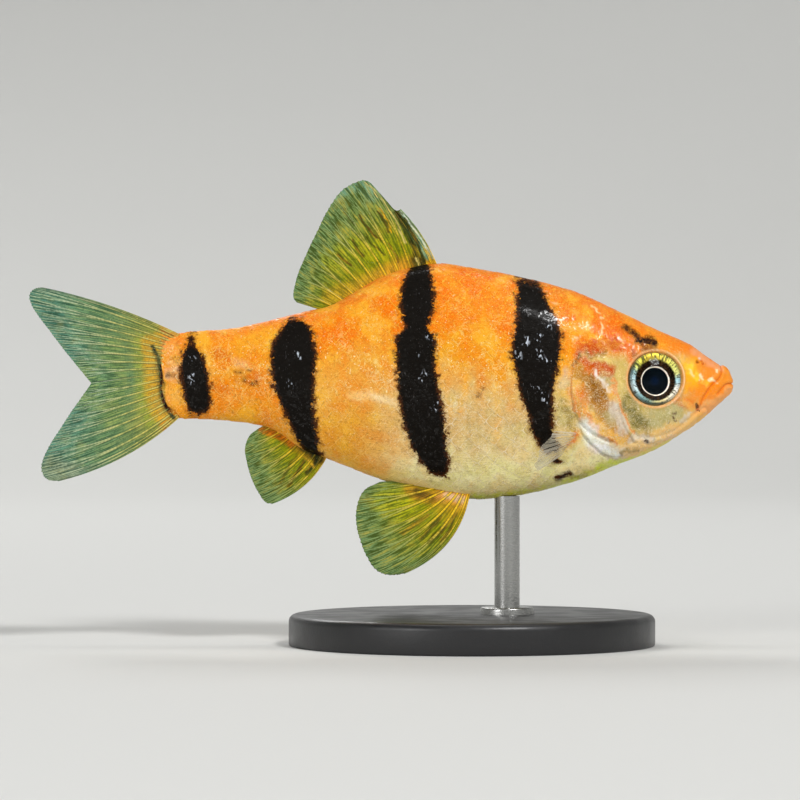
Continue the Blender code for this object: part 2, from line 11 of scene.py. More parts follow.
import bpy
import numpy as np
from bpy.props import FloatProperty, FloatVectorProperty, IntProperty, PointerProperty
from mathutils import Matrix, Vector

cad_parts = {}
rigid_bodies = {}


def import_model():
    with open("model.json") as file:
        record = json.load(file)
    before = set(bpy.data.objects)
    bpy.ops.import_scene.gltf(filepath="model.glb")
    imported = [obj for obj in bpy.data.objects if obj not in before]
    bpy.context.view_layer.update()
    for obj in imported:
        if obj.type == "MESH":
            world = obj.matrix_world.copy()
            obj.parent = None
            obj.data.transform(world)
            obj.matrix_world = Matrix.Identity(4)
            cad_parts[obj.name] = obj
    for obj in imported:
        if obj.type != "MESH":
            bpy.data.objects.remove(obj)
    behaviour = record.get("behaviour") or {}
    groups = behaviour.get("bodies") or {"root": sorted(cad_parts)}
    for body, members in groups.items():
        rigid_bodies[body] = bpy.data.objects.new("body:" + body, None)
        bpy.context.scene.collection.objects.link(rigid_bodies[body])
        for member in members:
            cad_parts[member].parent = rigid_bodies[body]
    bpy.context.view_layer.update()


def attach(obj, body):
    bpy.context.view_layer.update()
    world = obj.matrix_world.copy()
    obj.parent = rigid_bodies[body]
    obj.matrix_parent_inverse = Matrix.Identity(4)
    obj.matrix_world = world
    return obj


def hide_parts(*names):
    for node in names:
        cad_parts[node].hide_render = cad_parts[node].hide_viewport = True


bl_info = {
    "name": "Five-banded barb",
    "version": (1, 0, 0),
    "blender": (4, 5, 0),
    "location": "3D View > Sidebar > Barb",
    "description": "Builds a museum model of a five-banded barb on its stand",
    "category": "Object",
}

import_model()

MM = 0.001
AXIS_HEIGHT = 18.6  # of the swim axis over the floor
SIDES = (("right", -1), ("left", 1))

# The picture: millimetres for each pixel, the pixel of the swim axis at the part's middle, and how far off
# and before which place of the fish its camera stood.
PICTURE_SCALE = 0.07102
PICTURE_X, PICTURE_Y = 380, 383
CAMERA_DISTANCE = 284.0
CAMERA_X, CAMERA_Z = 1.42, -1.21

# Body stations from lips to tail: place along the fish, back, belly, half width.
BODY_STATIONS = (
    (25.00, -0.03, -0.10, 0.06), (24.99, 0.20, -0.34, 0.36), (24.94, 0.44, -0.64, 0.58),
    (24.82, 0.75, -0.80, 0.76), (24.64, 1.05, -0.96, 0.92), (24.37, 1.22, -1.22, 1.08),
    (24.09, 1.28, -1.47, 1.20), (23.70, 1.53, -1.82, 1.34), (22.94, 2.05, -2.50, 1.60),
    (22.00, 2.72, -3.22, 1.85), (19.46, 3.86, -4.76, 2.45),
    (16.90, 5.11, -5.78, 2.85), (13.50, 6.61, -7.10, 3.20), (10.10, 7.53, -7.95, 3.42),
    (6.70, 8.17, -8.28, 3.45), (4.00, 8.50, -7.85, 3.30), (0.50, 7.72, -7.02, 2.95),
    (-3.50, 5.55, -5.50, 2.35), (-5.50, 5.06, -4.75, 2.05), (-7.70, 4.50, -3.28, 1.65),
    (-10.40, 3.91, -2.76, 1.25), (-13.20, 3.70, -2.57, 0.92), (-14.70, 3.52, -2.52, 0.50),
    (-15.35, 3.10, -2.05, 0.26), (-15.75, 2.40, -1.30, 0.10),
)
FLANK_ROUNDNESS = 0.88
BODY_REAR, BODY_FRONT = -15.4, 24.9  # between them the body is tall enough to be measured round
SKIN_AROUND = 236  # faces in each ring of the skin
SCALES_FRONT = 17.6
SCALE_MIDLINE = (
    (-15.5, 0.50), (-9.0, 0.10), (-5.0, -0.45), (1.4, -1.30), (8.0, -0.85), (14.0, 0.60), (25.0, 0.60),
)

# Details of the head, drawn in side view.
EYE_X, EYE_Z = 19.53, 0.29
EYE_RADIUS, EYE_SINK = 1.90, 0.12
EYE_FORWARD, EYE_UPWARD = 0.20, 0.10
GILL_X, GILL_Z, GILL_RADIUS = 19.25, -0.36, 5.68
OPERCLE = (
    (14.55, 2.02), (13.95, 1.60), (13.62, 0.80), (13.52, -0.14), (13.62, -1.30), (13.92, -2.34),
    (14.45, -3.02), (15.13, -3.56), (16.35, -4.10), (17.30, -4.36), (18.10, -4.12), (17.57, -3.20),
    (17.08, -1.73), (16.65, -0.14), (16.62, 1.10), (16.35, 1.80), (15.40, 2.10),
)
GILL_SKIN = (
    (13.95, -2.20), (14.05, -2.90), (14.50, -3.80), (15.13, -4.45), (16.05, -5.16), (16.90, -5.24),
    (17.90, -4.95), (18.90, -4.50), (18.40, -4.10), (17.00, -4.00), (15.60, -3.50), (14.60, -2.80),
)
PREOPERCLE = ((16.52, 1.55), (16.60, 0.80), (16.65, -0.14), (17.05, -1.70), (17.57, -3.15), (18.10, -4.00))
CHEEK_LINE = ((18.10, -4.02), (19.20, -4.12), (20.75, -3.72), (21.70, -3.05), (22.40, -2.45), (23.00, -2.02))
MOUTH_SLIT = ((25.60, -0.05), (24.90, -0.06), (24.57, -0.11), (24.36, -0.28), (24.15, -0.53), (23.96, -0.77))
SNOUT_FOLD = (
    (24.10, 1.50), (24.16, 1.20), (24.22, 0.90), (24.17, 0.57), (24.03, 0.30), (23.71, 0.02), (23.49, -0.25),
    (23.15, -0.69), (22.89, -1.12), (22.67, -1.67),
)
JAW_FOLD = ((22.67, -1.67), (22.60, -2.30), (22.40, -3.00))
SHOULDER_FOLD = ((12.95, -0.70), (12.72, -1.80), (12.85, -2.90), (13.25, -3.75), (13.95, -4.45))
NOSTRILS = ((22.52, 1.48, 0.14), (22.90, 1.36, 0.08))
EYE_DROP = 0.15  # how far the pupil sits below the middle of the eye
DOME_RADIUS, DOME_SINK = 1.88, 0.10  # of the clear dome's foot
# The iris, in degrees from its top forward: its metallic colours, and how dark its outer rim is.
RING_STOPS = (
    (0, "E4C848"), (25, "ECDC60"), (45, "E4E070"), (75, "E8E88C"), (88, "A0CCD8"), (98, "B0D4DC"),
    (112, "F6F0E4"), (140, "F2E8CC"), (160, "DCC88E"), (180, "B4AC78"), (200, "789488"), (225, "88B0B4"),
    (250, "D8EAEC"), (270, "BCDCE4"), (290, "8CB4B8"), (305, "E0E068"), (330, "D8C840"), (345, "DCBC40"),
    (360, "E4C848"),
)
RIM_SHADES = (
    (0, 0.1), (80, 0.2), (120, 0.1), (150, 0.6), (165, 0.9), (200, 0.8), (240, 0.45), (285, 0.7), (305, 0.8),
    (320, 0.2), (360, 0.1),
)


def srgb(code):
    """A colour written as six hex digits, as the linear values that shaders read."""
    parts = [int(code[i:i + 2], 16) / 255 for i in (0, 2, 4)]
    return tuple(part / 12.92 if part <= 0.04045 else ((part + 0.055) / 1.055) ** 2.4 for part in parts)


def picture_x(x):
    return (x - PICTURE_X) * PICTURE_SCALE


def picture_z(y):
    return (PICTURE_Y - y) * PICTURE_SCALE


def from_picture(spots):
    """The picture's pixels, x and y by turns, as millimetres from the swim axis."""
    x, y = np.reshape(spots, (-1, 2)).T
    return np.stack([picture_x(x), picture_z(y)], axis=-1)


def seen(points):
    """Where places of the body show in the picture, as the camera brings the near flank forward."""
    grow = CAMERA_DISTANCE / (CAMERA_DISTANCE - abs(points[..., 1]))
    return CAMERA_X + (points[..., 0] - CAMERA_X) * grow, CAMERA_Z + (points[..., 2] - CAMERA_Z) * grow


def soft(value, low, high):
    """0 below low, 1 above high, smooth between them. Low may be the larger."""
    t = np.clip((np.asarray(value, dtype=float) - low) / (high - low), 0.0, 1.0)
    return t * t * (3 - 2 * t)


def bump(value, centre, width):
    return np.exp(-((np.asarray(value) - centre) / width) ** 2)


def smooth_path(points, steps):
    """A smooth curve through the given points, with `steps` spans between neighbours."""
    points = np.asarray(points, dtype=float)
    knots = np.concatenate([[0.0], np.cumsum(np.sqrt(np.linalg.norm(np.diff(points, axis=0), axis=1)))])
    slopes = np.empty_like(points)
    slopes[0] = (points[1] - points[0]) / (knots[1] - knots[0])
    slopes[-1] = (points[-1] - points[-2]) / (knots[-1] - knots[-2])
    for i in range(1, len(points) - 1):
        back, ahead = knots[i] - knots[i - 1], knots[i + 1] - knots[i]
        before, after = (points[i] - points[i - 1]) / back, (points[i + 1] - points[i]) / ahead
        slopes[i] = (before * ahead + after * back) / (back + ahead)
    path = []
    for i in range(len(points) - 1):
        span = knots[i + 1] - knots[i]
        for step in range(steps + (i == len(points) - 2)):
            t = step / steps
            start = 2 * t**3 - 3 * t**2 + 1
            path.append(
                start * points[i] + (t**3 - 2 * t**2 + t) * span * slopes[i]
                + (1 - start) * points[i + 1] + (t**3 - t**2) * span * slopes[i + 1]
            )
    return np.array(path)


def along_path(path, shares):
    """Points of a dense path at shares of its length."""
    lengths = np.concatenate([[0.0], np.cumsum(np.linalg.norm(np.diff(path, axis=0), axis=1))])
    wanted = np.asarray(shares) * lengths[-1]
    return np.stack([np.interp(wanted, lengths, path[:, k]) for k in range(path.shape[1])], axis=-1)


def line_distance(x, z, points, steps=6):
    """How far each place lies from a smooth line, and the share of the line's length nearest to it."""
    path = smooth_path(points, steps) if steps else np.asarray(points, dtype=float)
    nearest = np.full(x.shape, 1e9)
    share = np.zeros(x.shape)
    for i in range(len(path) - 1):
        (ax, az), (bx, bz) = path[i], path[i + 1]
        length = (bx - ax) ** 2 + (bz - az) ** 2
        t = np.clip(((x - ax) * (bx - ax) + (z - az) * (bz - az)) / max(length, 1e-12), 0, 1)
        away = np.hypot(x - ax - t * (bx - ax), z - az - t * (bz - az))
        closer = away < nearest
        nearest = np.where(closer, away, nearest)
        share = np.where(closer, (i + t) / (len(path) - 1), share)
    return nearest, share


def outline_depth(x, z, points, steps=4):
    """How far inside a closed outline each place lies. Outside it is negative."""
    loop = [*points, points[0]]
    path = smooth_path(loop, steps) if steps else np.asarray(loop, dtype=float)
    away, _ = line_distance(x, z, path, 0)
    inside = np.zeros(x.shape, dtype=bool)
    for (ax, az), (bx, bz) in zip(path, path[1:]):
        crosses = (az > z) != (bz > z)
        reach = ax + (z - az) / (bz - az if abs(bz - az) > 1e-12 else 1e-12) * (bx - ax)
        inside ^= crosses & (x < reach)
    return np.where(inside, away, -away)


BODY = smooth_path(BODY_STATIONS, 24)


def body_measure(x, column):
    """One measure of the body at x: 1 is its back, 2 its belly and 3 its half width."""
    return np.interp(x, BODY[::-1, 0], BODY[::-1, column])


def section(x):
    """The body's section at x: its middle height, half height and half width."""
    back, belly, half = (body_measure(x, column) for column in (1, 2, 3))
    return (back + belly) / 2, (back - belly) / 2, half


def height_share(x, z):
    """How high a place lies on its section, from -1 at the belly to 1 at the back."""
    middle, half_height, _ = section(np.clip(x, BODY_REAR, BODY_FRONT))
    return (z - middle) / half_height


def gill_depth(x, z):
    """How far a place lies ahead of the gill cover's round rear edge."""
    return GILL_RADIUS - np.hypot(x - GILL_X, z - GILL_Z)


def on_ring(middle, half_height, half_width, turn):
    """Height and side reach of a section's rim, `turn` radians from the back."""
    side = np.sin(turn)
    reach = half_width * np.sign(side) * np.abs(side) ** FLANK_ROUNDNESS
    return reach, middle + half_height * np.cos(turn)


def body_point(x, turn, side):
    middle, half_height, half_width = section(x)
    reach, z = on_ring(middle, half_height, half_width, turn)
    return np.stack([x + 0 * z, side * reach, z], axis=-1)


def body_normal(x, turn, side):
    """The outward direction of the plain body at each place."""
    step = 0.01
    lengthwise = body_point(x + step, turn, side) - body_point(x - step, turn, side)
    round_it = body_point(x, turn + step, side) - body_point(x, turn - step, side)
    normal = np.cross(lengthwise, round_it) * side
    normal /= np.maximum(np.linalg.norm(normal, axis=-1, keepdims=True), 1e-9)
    return normal


def flank_reach(x, z):
    """Half the width of the body at a place of its side view."""
    middle, half_height, half_width = section(x)
    rise = np.clip(abs(z - middle) / half_height, 0, 1)
    return half_width * np.sqrt(1 - rise**2) ** FLANK_ROUNDNESS


def metres(points):
    """Millimetres from the swim axis as metres from the floor."""
    moved = np.array(points, dtype=float)
    moved[..., 2] += AXIS_HEIGHT
    return moved * MM


def vertex_places(mesh):
    """The vertices' places in millimetres from the swim axis."""
    flat = np.empty(len(mesh.vertices) * 3)
    mesh.vertices.foreach_get("co", flat)
    return flat.reshape(-1, 3) / MM - (0, 0, AXIS_HEIGHT)


def store(mesh, **attributes):
    """Keeps numbers or colours for each vertex, for the materials to read."""
    for name, values in attributes.items():
        values = np.asarray(values, dtype=np.float32)
        if values.ndim == 1:
            mesh.attributes.new(name, "FLOAT", "POINT").data.foreach_set("value", values)
        else:
            filled = np.ones((len(values), 4), dtype=np.float32)
            filled[:, :3] = values
            mesh.attributes.new(name, "FLOAT_COLOR", "POINT").data.foreach_set("color", filled.ravel())


def new_piece(name, points, faces):
    """A smooth-shaded object from points, in millimetres from the swim axis, and faces."""
    mesh = bpy.data.meshes.new(name)
    mesh.from_pydata(metres(points).tolist(), [], faces)
    mesh.shade_smooth()
    piece = bpy.data.objects.new(name, mesh)
    bpy.context.scene.collection.objects.link(piece)
    return piece


def finish_piece(piece, material, nodes=()):
    """Gives a piece its material, and says what it rides on and the nodes it stands for."""
    piece.data.materials.clear()
    piece.data.materials.append(material)
    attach(piece, "root")
    if nodes:
        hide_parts(*nodes)


def deselect_all():
    for item in bpy.context.view_layer.objects:
        item.select_set(False)


def start_edit(piece):
    """Takes one piece alone into edit mode, with all of it selected."""
    deselect_all()
    piece.select_set(True)
    bpy.context.view_layer.objects.active = piece
    bpy.ops.object.mode_set(mode="EDIT")
    bpy.ops.mesh.select_all(action="SELECT")


def weld(piece, reach=None):
    """Turns a piece's faces outward, and first merges its doubles where a reach is given."""
    start_edit(piece)
    if reach:
        bpy.ops.mesh.remove_doubles(threshold=reach)
    bpy.ops.mesh.normals_make_consistent(inside=False)
    bpy.ops.object.mode_set(mode="OBJECT")


def smooth_by_angle(piece, degrees=50):
    piece.data.shade_smooth()
    piece.data.set_sharp_from_angle(angle=math.radians(degrees))


def turned(name, profile, centre, axis, steps):
    """Spins a profile of points, in metres, round an axis into a closed shape."""
    mesh = bpy.data.meshes.new(name)
    mesh.from_pydata([tuple(point) for point in profile], [(i, i + 1) for i in range(len(profile) - 1)], [])
    piece = bpy.data.objects.new(name, mesh)
    bpy.context.scene.collection.objects.link(piece)
    start_edit(piece)
    bpy.ops.mesh.spin(steps=steps, angle=2 * math.pi, center=tuple(centre), axis=tuple(axis))
    bpy.ops.object.mode_set(mode="OBJECT")
    weld(piece, 2e-6)
    piece.data.shade_smooth()
    return piece


# Markings, worked out for any place of the body in side view.

def band_depth(x, z):
    """How far inside the nearest black band each place lies, in millimetres."""
    deepest = np.full(x.shape, -9.0)
    for rows in BAND_ROWS:
        heights, rear, front = zip(*rows)
        ends = np.minimum(z - heights[0], heights[-1] - z)
        depth = np.minimum(x - np.interp(z, heights, rear), np.interp(z, heights, front) - x)
        deepest = np.maximum(deepest, np.minimum(depth, ends))
    return deepest


def picture_rows(*rows):
    """One band from the picture's rows of height, rear edge and front edge, all in pixels."""
    y, rear, front = np.transpose(rows)
    return sorted(zip(picture_z(y), picture_x(rear), picture_x(front)))


BAND_ROWS = (
    picture_rows(
        (414, 190, 206), (408, 187, 210), (400, 184, 211), (388, 182, 210), (375, 180, 208),
        (362, 180, 205), (353, 183, 201), (345, 187, 195), (332, 190, 193),
    ),
    picture_rows(
        (464, 316, 325), (458, 309, 322), (450, 302, 319), (433, 293, 317), (420, 287, 315),
        (410, 283, 314), (398, 277, 314), (386, 273, 314), (370, 271, 315), (354, 270, 316),
        (342, 273, 314), (332, 279, 312), (324, 285, 307), (319, 289, 300),
    ),
    picture_rows(
        (476, 434, 446), (470, 427, 448), (463, 421, 449), (450, 412, 447), (436, 407, 446),
        (420, 402, 444), (401, 399, 441), (385, 397, 438), (365, 396, 435), (345, 395, 436),
        (335, 396, 434), (328, 405, 427), (320, 402, 430), (307, 400, 434), (294, 400, 434),
        (280, 403, 432), (270, 408, 430), (258, 412, 428), (240, 412, 428),
    ),
    picture_rows(
        (453, 545, 557), (446, 539, 559), (436, 534, 554), (428, 529, 553), (419, 529, 553),
        (405, 524, 553), (392, 519, 553), (382, 517, 555), (374, 516, 556), (356, 511, 560),
        (338, 512, 561), (328, 514, 559), (320, 516, 556), (308, 516, 550), (299, 516, 546),
        (288, 516, 541), (278, 517, 537), (262, 518, 536),
    ),
)

# Where the body's colours lie from belly to back, as shares of the half height from the middle.
HEIGHT_STOPS = (-1.0, -0.97, -0.84, -0.46, -0.18, 0.12, 0.45, 0.75, 1.0)


def body_tint(x, z, colours):
    """The body's colour without its bands, from the palette of the panel."""
    streaks = 0.26 * (grain(x * 2.2, z * 0.5, 0.8, 11) - 0.5) + 0.24 * (grain(x, z, 1.7, 12) - 0.5)
    height = height_share(x, z)
    height = np.clip(height + streaks * soft(abs(height), 0.95, 0.6), -1, 1)

    def column(names):
        palette = np.array([getattr(colours, name) for name in names.split()])
        return np.stack([np.interp(height, HEIGHT_STOPS, palette[:, k]) for k in range(3)], axis=-1)

    tint = over(
        column("belly_edge belly_edge belly lower lower flank upper upper back"),
        (
            column("rear_belly rear_belly rear_low rear_low rear_flank rear_flank upper upper back"),
            soft(x, 3.5, -2.0),
        ),
        (column("stem stem stem stem stem stem_flank stem_flank stem_flank back"), soft(x, -4.0, -8.5)),
    )
    return paint_head(x, z, tint, colours)


def over(tint, *coats):
    """Lays colours over a tint one after the other, each where its mask is 1."""
    tint = np.asarray(tint)
    for colour, mask in coats:
        mask = np.clip(mask, 0, 1)[..., None]
        tint = tint * (1 - mask) + np.asarray(colour) * mask
    return tint


def grain(x, z, size, seed):
    """Soft random values from 0 to 1 over the side view, in spots about `size` millimetres wide."""
    table = np.random.default_rng(seed).random((128, 128))
    u, v = np.asarray(x) / size + 500, np.asarray(z) / size + 500
    i, j = np.floor(u).astype(int), np.floor(v).astype(int)
    a, b = soft(u - i, 0, 1), soft(v - j, 0, 1)
    i, j, k, m = i % 128, j % 128, (i + 1) % 128, (j + 1) % 128
    low = table[i, j] * (1 - a) + table[k, j] * a
    high = table[i, m] * (1 - a) + table[k, m] * a
    return low * (1 - b) + high * b


def stroke_mask(x, z, spots, width):
    """1 on a painted stroke or dab, falling to 0 past its half width in pixels."""
    points = from_picture(spots)
    reach = width * PICTURE_SCALE
    low, high = points.min(axis=0) - 2 * reach, points.max(axis=0) + 2 * reach
    near = (x > low[0]) & (x < high[0]) & (z > low[1]) & (z < high[1])
    mask = np.zeros(x.shape)
    if near.any():
        if len(points) > 1:
            away, _ = line_distance(x[near], z[near], points, 4)
        else:
            away = np.hypot(x[near] - points[0, 0], z[near] - points[0, 1])
        mask[near] = np.exp(-((away / reach) ** 4))
    return mask


BROAD_STROKE = 2  # strokes from this half width on, in pixels, have thin places


def paint(x, z, tint, marks, size=1.0):
    """Lays strokes and dabs of paint over a tint, in their order, with uneven edges and thin places."""
    thin = 1 - 0.38 * size + 0.70 * size * grain(x, z, 0.24, 5)
    x, z = (
        place + size * (0.30 * (grain(x, z, 0.60, seed) - 0.5) + 0.16 * (grain(x, z, 0.17, seed + 1) - 0.5))
        for place, seed in ((x, 1), (z, 3))
    )
    for name, strength, width, *spots in marks:
        mask = stroke_mask(x, z, spots, width)
        if width >= BROAD_STROKE and name not in ("soot", "plum"):
            mask = mask * np.clip(thin, 0, 1)
        tint = over(tint, (PAINTS[name], strength * mask))
    return tint


def strongest(x, z, marks):
    """The strongest of the given strokes at each place."""
    masks = [strength * stroke_mask(x, z, spots, width) for _, strength, width, *spots in marks]
    return np.max([0 * x, *masks], axis=0)


# Paints, and the strokes in the order in which they are laid: each one's paint, strength and half width,
# then x and y of its places by turns, all in the picture's pixels. A stroke with one place is a round dab.
# Strokes of glint paint are painted highlights.
PAINTS = {name: srgb(code) for name, code in dict(
    rust="C64600", deep="E66404", amber="FFB414", straw="EBD27A", olive="8A7028", moss="6A642E",
    sage="B8AE78", umber="553410", bronze="B0721A", pearl="DDD3C6", milk="FFFFFF", rose="F0B48C",
    coral="EE9448", plum="561804", soot="140C08", glint="FFE8B8", lime="B4C030", gold="D9A52C",
    teal="7FB39C", ash="8A8A74", leaf="BCBE14", spine="D5DDC4", honey="FFC45C", flame="FF8C08",
    peach="FFAE62", keel="E0EC28", fern="86A04C", pine="427868", sun="FFD83C",
).items()}
HEAD_MARKS = (
    ("amber", 0.55, 13, 568, 352, 572, 340), ("deep", 0.75, 14, 566, 322, 585, 318, 610, 326),
    ("deep", 0.9, 11, 584, 346, 602, 342, 622, 340), ("rust", 1, 7, 580, 352, 598, 347, 618, 344),
    ("deep", 0.8, 8, 628, 346, 634, 358), ("sage", 0.65, 8, 563, 385, 561, 400, 564, 418),
    ("honey", 0.6, 4, 566, 392, 566, 404), ("pearl", 0.6, 5, 566, 372, 561, 384),
    ("bronze", 0.9, 9, 586, 376, 596, 392, 608, 410), ("sage", 0.75, 8, 606, 374, 608, 384),
    ("umber", 0.5, 5, 590, 386, 599, 398), ("honey", 0.75, 5, 575, 384, 579, 398, 584, 408),
    ("honey", 0.8, 3.5, 611, 388, 613, 398), ("sage", 0.7, 6, 583, 403, 588, 411),
    ("sage", 0.7, 6, 605, 411, 610, 419), ("honey", 0.85, 5.5, 584, 408, 594, 422, 604, 431, 622, 440),
    ("deep", 0.6, 2.2, 584, 412, 591, 423, 601, 434, 618, 442),
    ("pearl", 0.85, 6, 611, 404, 617, 416, 622, 428), ("deep", 0.8, 6, 586, 366, 596, 371),
    ("bronze", 0.8, 5.5, 602, 388, 606, 400, 604, 408), ("deep", 0.7, 6, 580, 392, 583, 402),
    ("straw", 0.9, 3, 583, 358, 592, 360, 603, 358, 610, 364, 613, 370),
    ("olive", 0.8, 2.6, 588, 355, 598, 355, 606, 354), ("rust", 1, 5, 585, 362, 597, 366, 611, 371),
    ("umber", 0.8, 2.5, 574, 368, 577, 361, 581, 356), ("milk", 0.8, 2.4, 595, 372, 602, 380, 610, 390),
    ("umber", 0.55, 2.4, 590, 374, 598, 385, 606, 396), ("straw", 0.6, 4.5, 617, 378, 618, 390),
    ("coral", 0.9, 1.7, 612, 380, 615, 392, 620, 405, 626, 422, 632, 435),
    ("sage", 0.8, 9, 650, 420, 664, 417, 676, 412), ("moss", 0.9, 8, 628, 404, 634, 414, 640, 422),
    ("olive", 0.5, 5, 642, 430, 648, 434), ("pearl", 0.8, 4, 631, 439, 642, 440, 650, 437),
    ("honey", 0.55, 3, 652, 434, 666, 429, 682, 423, 697, 415),
    ("rose", 0.45, 6, 664, 436, 682, 430, 700, 418, 714, 406), ("pearl", 0.7, 2.6, 681, 421, 690, 412),
    ("flame", 0.65, 11, 690, 384, 700, 388, 690, 398), ("deep", 0.55, 5, 676, 400, 682, 406, 690, 404),
    ("honey", 0.6, 3.5, 686, 404, 691, 407), ("amber", 0.7, 7, 690, 364, 694, 380),
    ("sun", 0.8, 3.2, 688, 366, 692, 373, 697, 377), ("glint", 0.6, 1.6, 690, 370, 695, 375),
    ("amber", 0.6, 3, 682, 358, 688, 380, 684, 392), ("glint", 0.9, 1.3, 701, 377, 704, 379),
    ("glint", 0.9, 1.5, 710, 381, 713, 384), ("sun", 0.55, 2, 704, 381, 712, 387),
    ("rose", 0.55, 5, 694, 353, 708, 362, 719, 369), ("peach", 0.8, 6, 714, 397, 706, 406, 701, 413),
    ("peach", 0.9, 7, 728, 394, 720, 400, 710, 409, 700, 416),
    ("honey", 0.7, 5, 700, 418, 690, 426, 680, 433), ("flame", 0.8, 4, 722, 390, 712, 396),
    ("flame", 0.95, 3.4, 716, 386, 707, 395, 702, 403), ("pearl", 0.9, 1.6, 697, 360),
    ("rust", 0.6, 1.3, 698, 363), ("glint", 0.85, 1.2, 714, 370, 714, 374),
    ("rust", 0.8, 2.2, 697, 405, 699, 410), ("umber", 0.95, 1.2, 697, 404, 698, 407),
    ("umber", 0.95, 1, 699, 411), ("umber", 0.8, 1.3, 674, 413), ("umber", 0.8, 1.3, 673, 418),
    ("umber", 0.8, 1.3, 674, 421), ("umber", 0.7, 1.2, 669, 424), ("soot", 0.9, 1.6, 644, 441, 646, 441),
    ("plum", 0.85, 4, 623, 326, 630, 331, 637, 336), ("plum", 0.98, 4.4, 638, 340, 646, 341, 654, 343),
    ("plum", 0.7, 4, 644, 348, 654, 349), ("plum", 0.5, 3.5, 635, 352, 637, 358),
    ("coral", 0.9, 2, 570, 383, 570, 395, 574, 408, 580, 420),
    ("rose", 0.8, 2.2, 580, 420, 586, 432, 594, 446, 604, 454, 616, 457),
    ("pearl", 0.95, 5, 583, 424, 590, 436, 600, 447, 614, 449),
    ("pearl", 0.95, 9, 596, 444, 606, 450, 616, 452), ("milk", 1, 9, 589, 432, 594, 439, 599, 445),
    ("milk", 0.75, 4.5, 606, 450, 615, 452), ("olive", 0.8, 3.5, 562, 402, 567, 414, 572, 425, 576, 432),
    ("honey", 0.7, 5, 577, 434, 566, 446), ("deep", 0.85, 2, 577, 436, 571, 441, 565, 444),
    ("rust", 0.9, 1.4, 578, 433), ("coral", 0.5, 6, 592, 306, 600, 312, 604, 320),
    ("glint", 0.8, 1.3, 594, 308, 599, 310), ("glint", 0.8, 1.1, 600, 315, 603, 318),
    ("glint", 0.8, 1.1, 603, 326, 602, 331), ("glint", 0.8, 1, 596, 338, 599, 334),
    ("glint", 0.7, 1.4, 574, 339, 579, 337), ("glint", 0.7, 1.2, 553, 302, 555, 304),
    ("amber", 0.7, 3.5, 588, 333, 594, 338, 600, 336), ("olive", 0.75, 2, 622, 453, 630, 451, 638, 450),
)
BODY_MARKS = (
    # Painted sheen: the keel strokes lay a yellow-green sheen along the belly's lower edge and the throat.
    ("keel", 0.95, 4.4, 440, 499, 470, 500, 500, 497, 530, 494, 560, 486, 590, 474, 614, 463, 630, 461),
    ("keel", 0.5, 3, 630, 461, 650, 452, 672, 441, 690, 431), ("soot", 1, 3.2, 554, 461, 559, 462),
    ("soot", 1, 3, 557, 477, 563, 476, 570, 474), ("olive", 0.6, 2.2, 572, 477, 586, 474),
    ("amber", 0.5, 3.5, 466, 378, 464, 396, 461, 412), ("honey", 0.55, 3.5, 494, 384, 497, 405, 497, 440),
    ("deep", 0.45, 2, 480, 368, 481, 388), ("honey", 0.45, 3, 450, 400, 448, 424),
    ("deep", 0.4, 5, 452, 300, 466, 312, 472, 330), ("rust", 0.6, 7, 240, 377, 256, 378),
    ("honey", 0.6, 4, 214, 326, 224, 330, 236, 326), ("rose", 0.55, 5, 236, 362, 246, 366),
    ("rust", 0.45, 6, 216, 352, 226, 358), ("honey", 0.55, 4, 206, 350, 208, 372),
    ("rust", 0.4, 5, 212, 386, 224, 392), ("honey", 0.5, 4, 228, 400, 240, 396),
    ("plum", 0.93, 2, 236, 374, 241, 373), ("plum", 0.93, 1.8, 246, 379),
    ("plum", 0.93, 2, 252, 383, 257, 381), ("plum", 0.9, 1.6, 249, 371),
    ("umber", 0.95, 1.8, 481, 388, 481, 391), ("umber", 0.9, 1.5, 478, 396),
    ("umber", 0.86, 1.4, 372, 372), ("umber", 0.86, 1.4, 356, 391),
    ("glint", 0.8, 4, 350, 396, 372, 397, 396, 402),
)
TAIL_MARKS = (
    ("coral", 0.7, 9, 170, 346, 172, 352), ("coral", 0.7, 8, 171, 392, 172, 400),
    ("pearl", 0.8, 6, 173, 366, 172, 376),
    ("gold", 0.95, 7, 150, 343, 152, 360, 156, 380, 157, 398, 167, 417),
    # The umber and soot strokes along the tail stem's end are partly its own dark edge and partly painted
    # shadow where the body steps down to the fin.
    ("umber", 0.65, 3.2, 153, 350, 157, 362, 160, 378, 160, 395, 166, 410),
    ("soot", 1, 2.1, 152, 346, 158, 359, 161, 374, 161, 392, 166, 407, 174, 418),
    ("soot", 0.85, 2.2, 170, 378), ("umber", 0.7, 1.2, 167, 376, 174, 366, 180, 357),
    ("rust", 0.6, 1.3, 162, 331, 171, 337, 176, 346, 177, 357),
)
# Painted highlights: small pale glints on the black bands.
GLINTS = (
    ("glint", 1, 1.9, 517, 350, 518, 356), ("glint", 1, 1.2, 539, 335, 538, 341),
    ("glint", 1, 1.2, 527, 338, 525, 345), ("glint", 1, 1.4, 539, 349, 541, 357, 549, 363),
    ("glint", 1, 1.2, 534, 389, 536, 387), ("glint", 1, 1.4, 544, 394, 546, 402),
    ("glint", 1, 1.4, 549, 326, 550, 331), ("glint", 1, 1.1, 428, 332, 430, 340),
    ("glint", 1, 1.1, 414, 352, 417, 358), ("glint", 1, 1, 424, 372, 422, 380),
    ("glint", 1, 1, 436, 402, 434, 409), ("glint", 1, 1.1, 296, 352, 300, 358),
    ("glint", 1, 1, 288, 380, 290, 386), ("glint", 1, 1.1, 191, 356, 195, 362),
    ("glint", 1, 1, 192, 374, 190, 382),
)


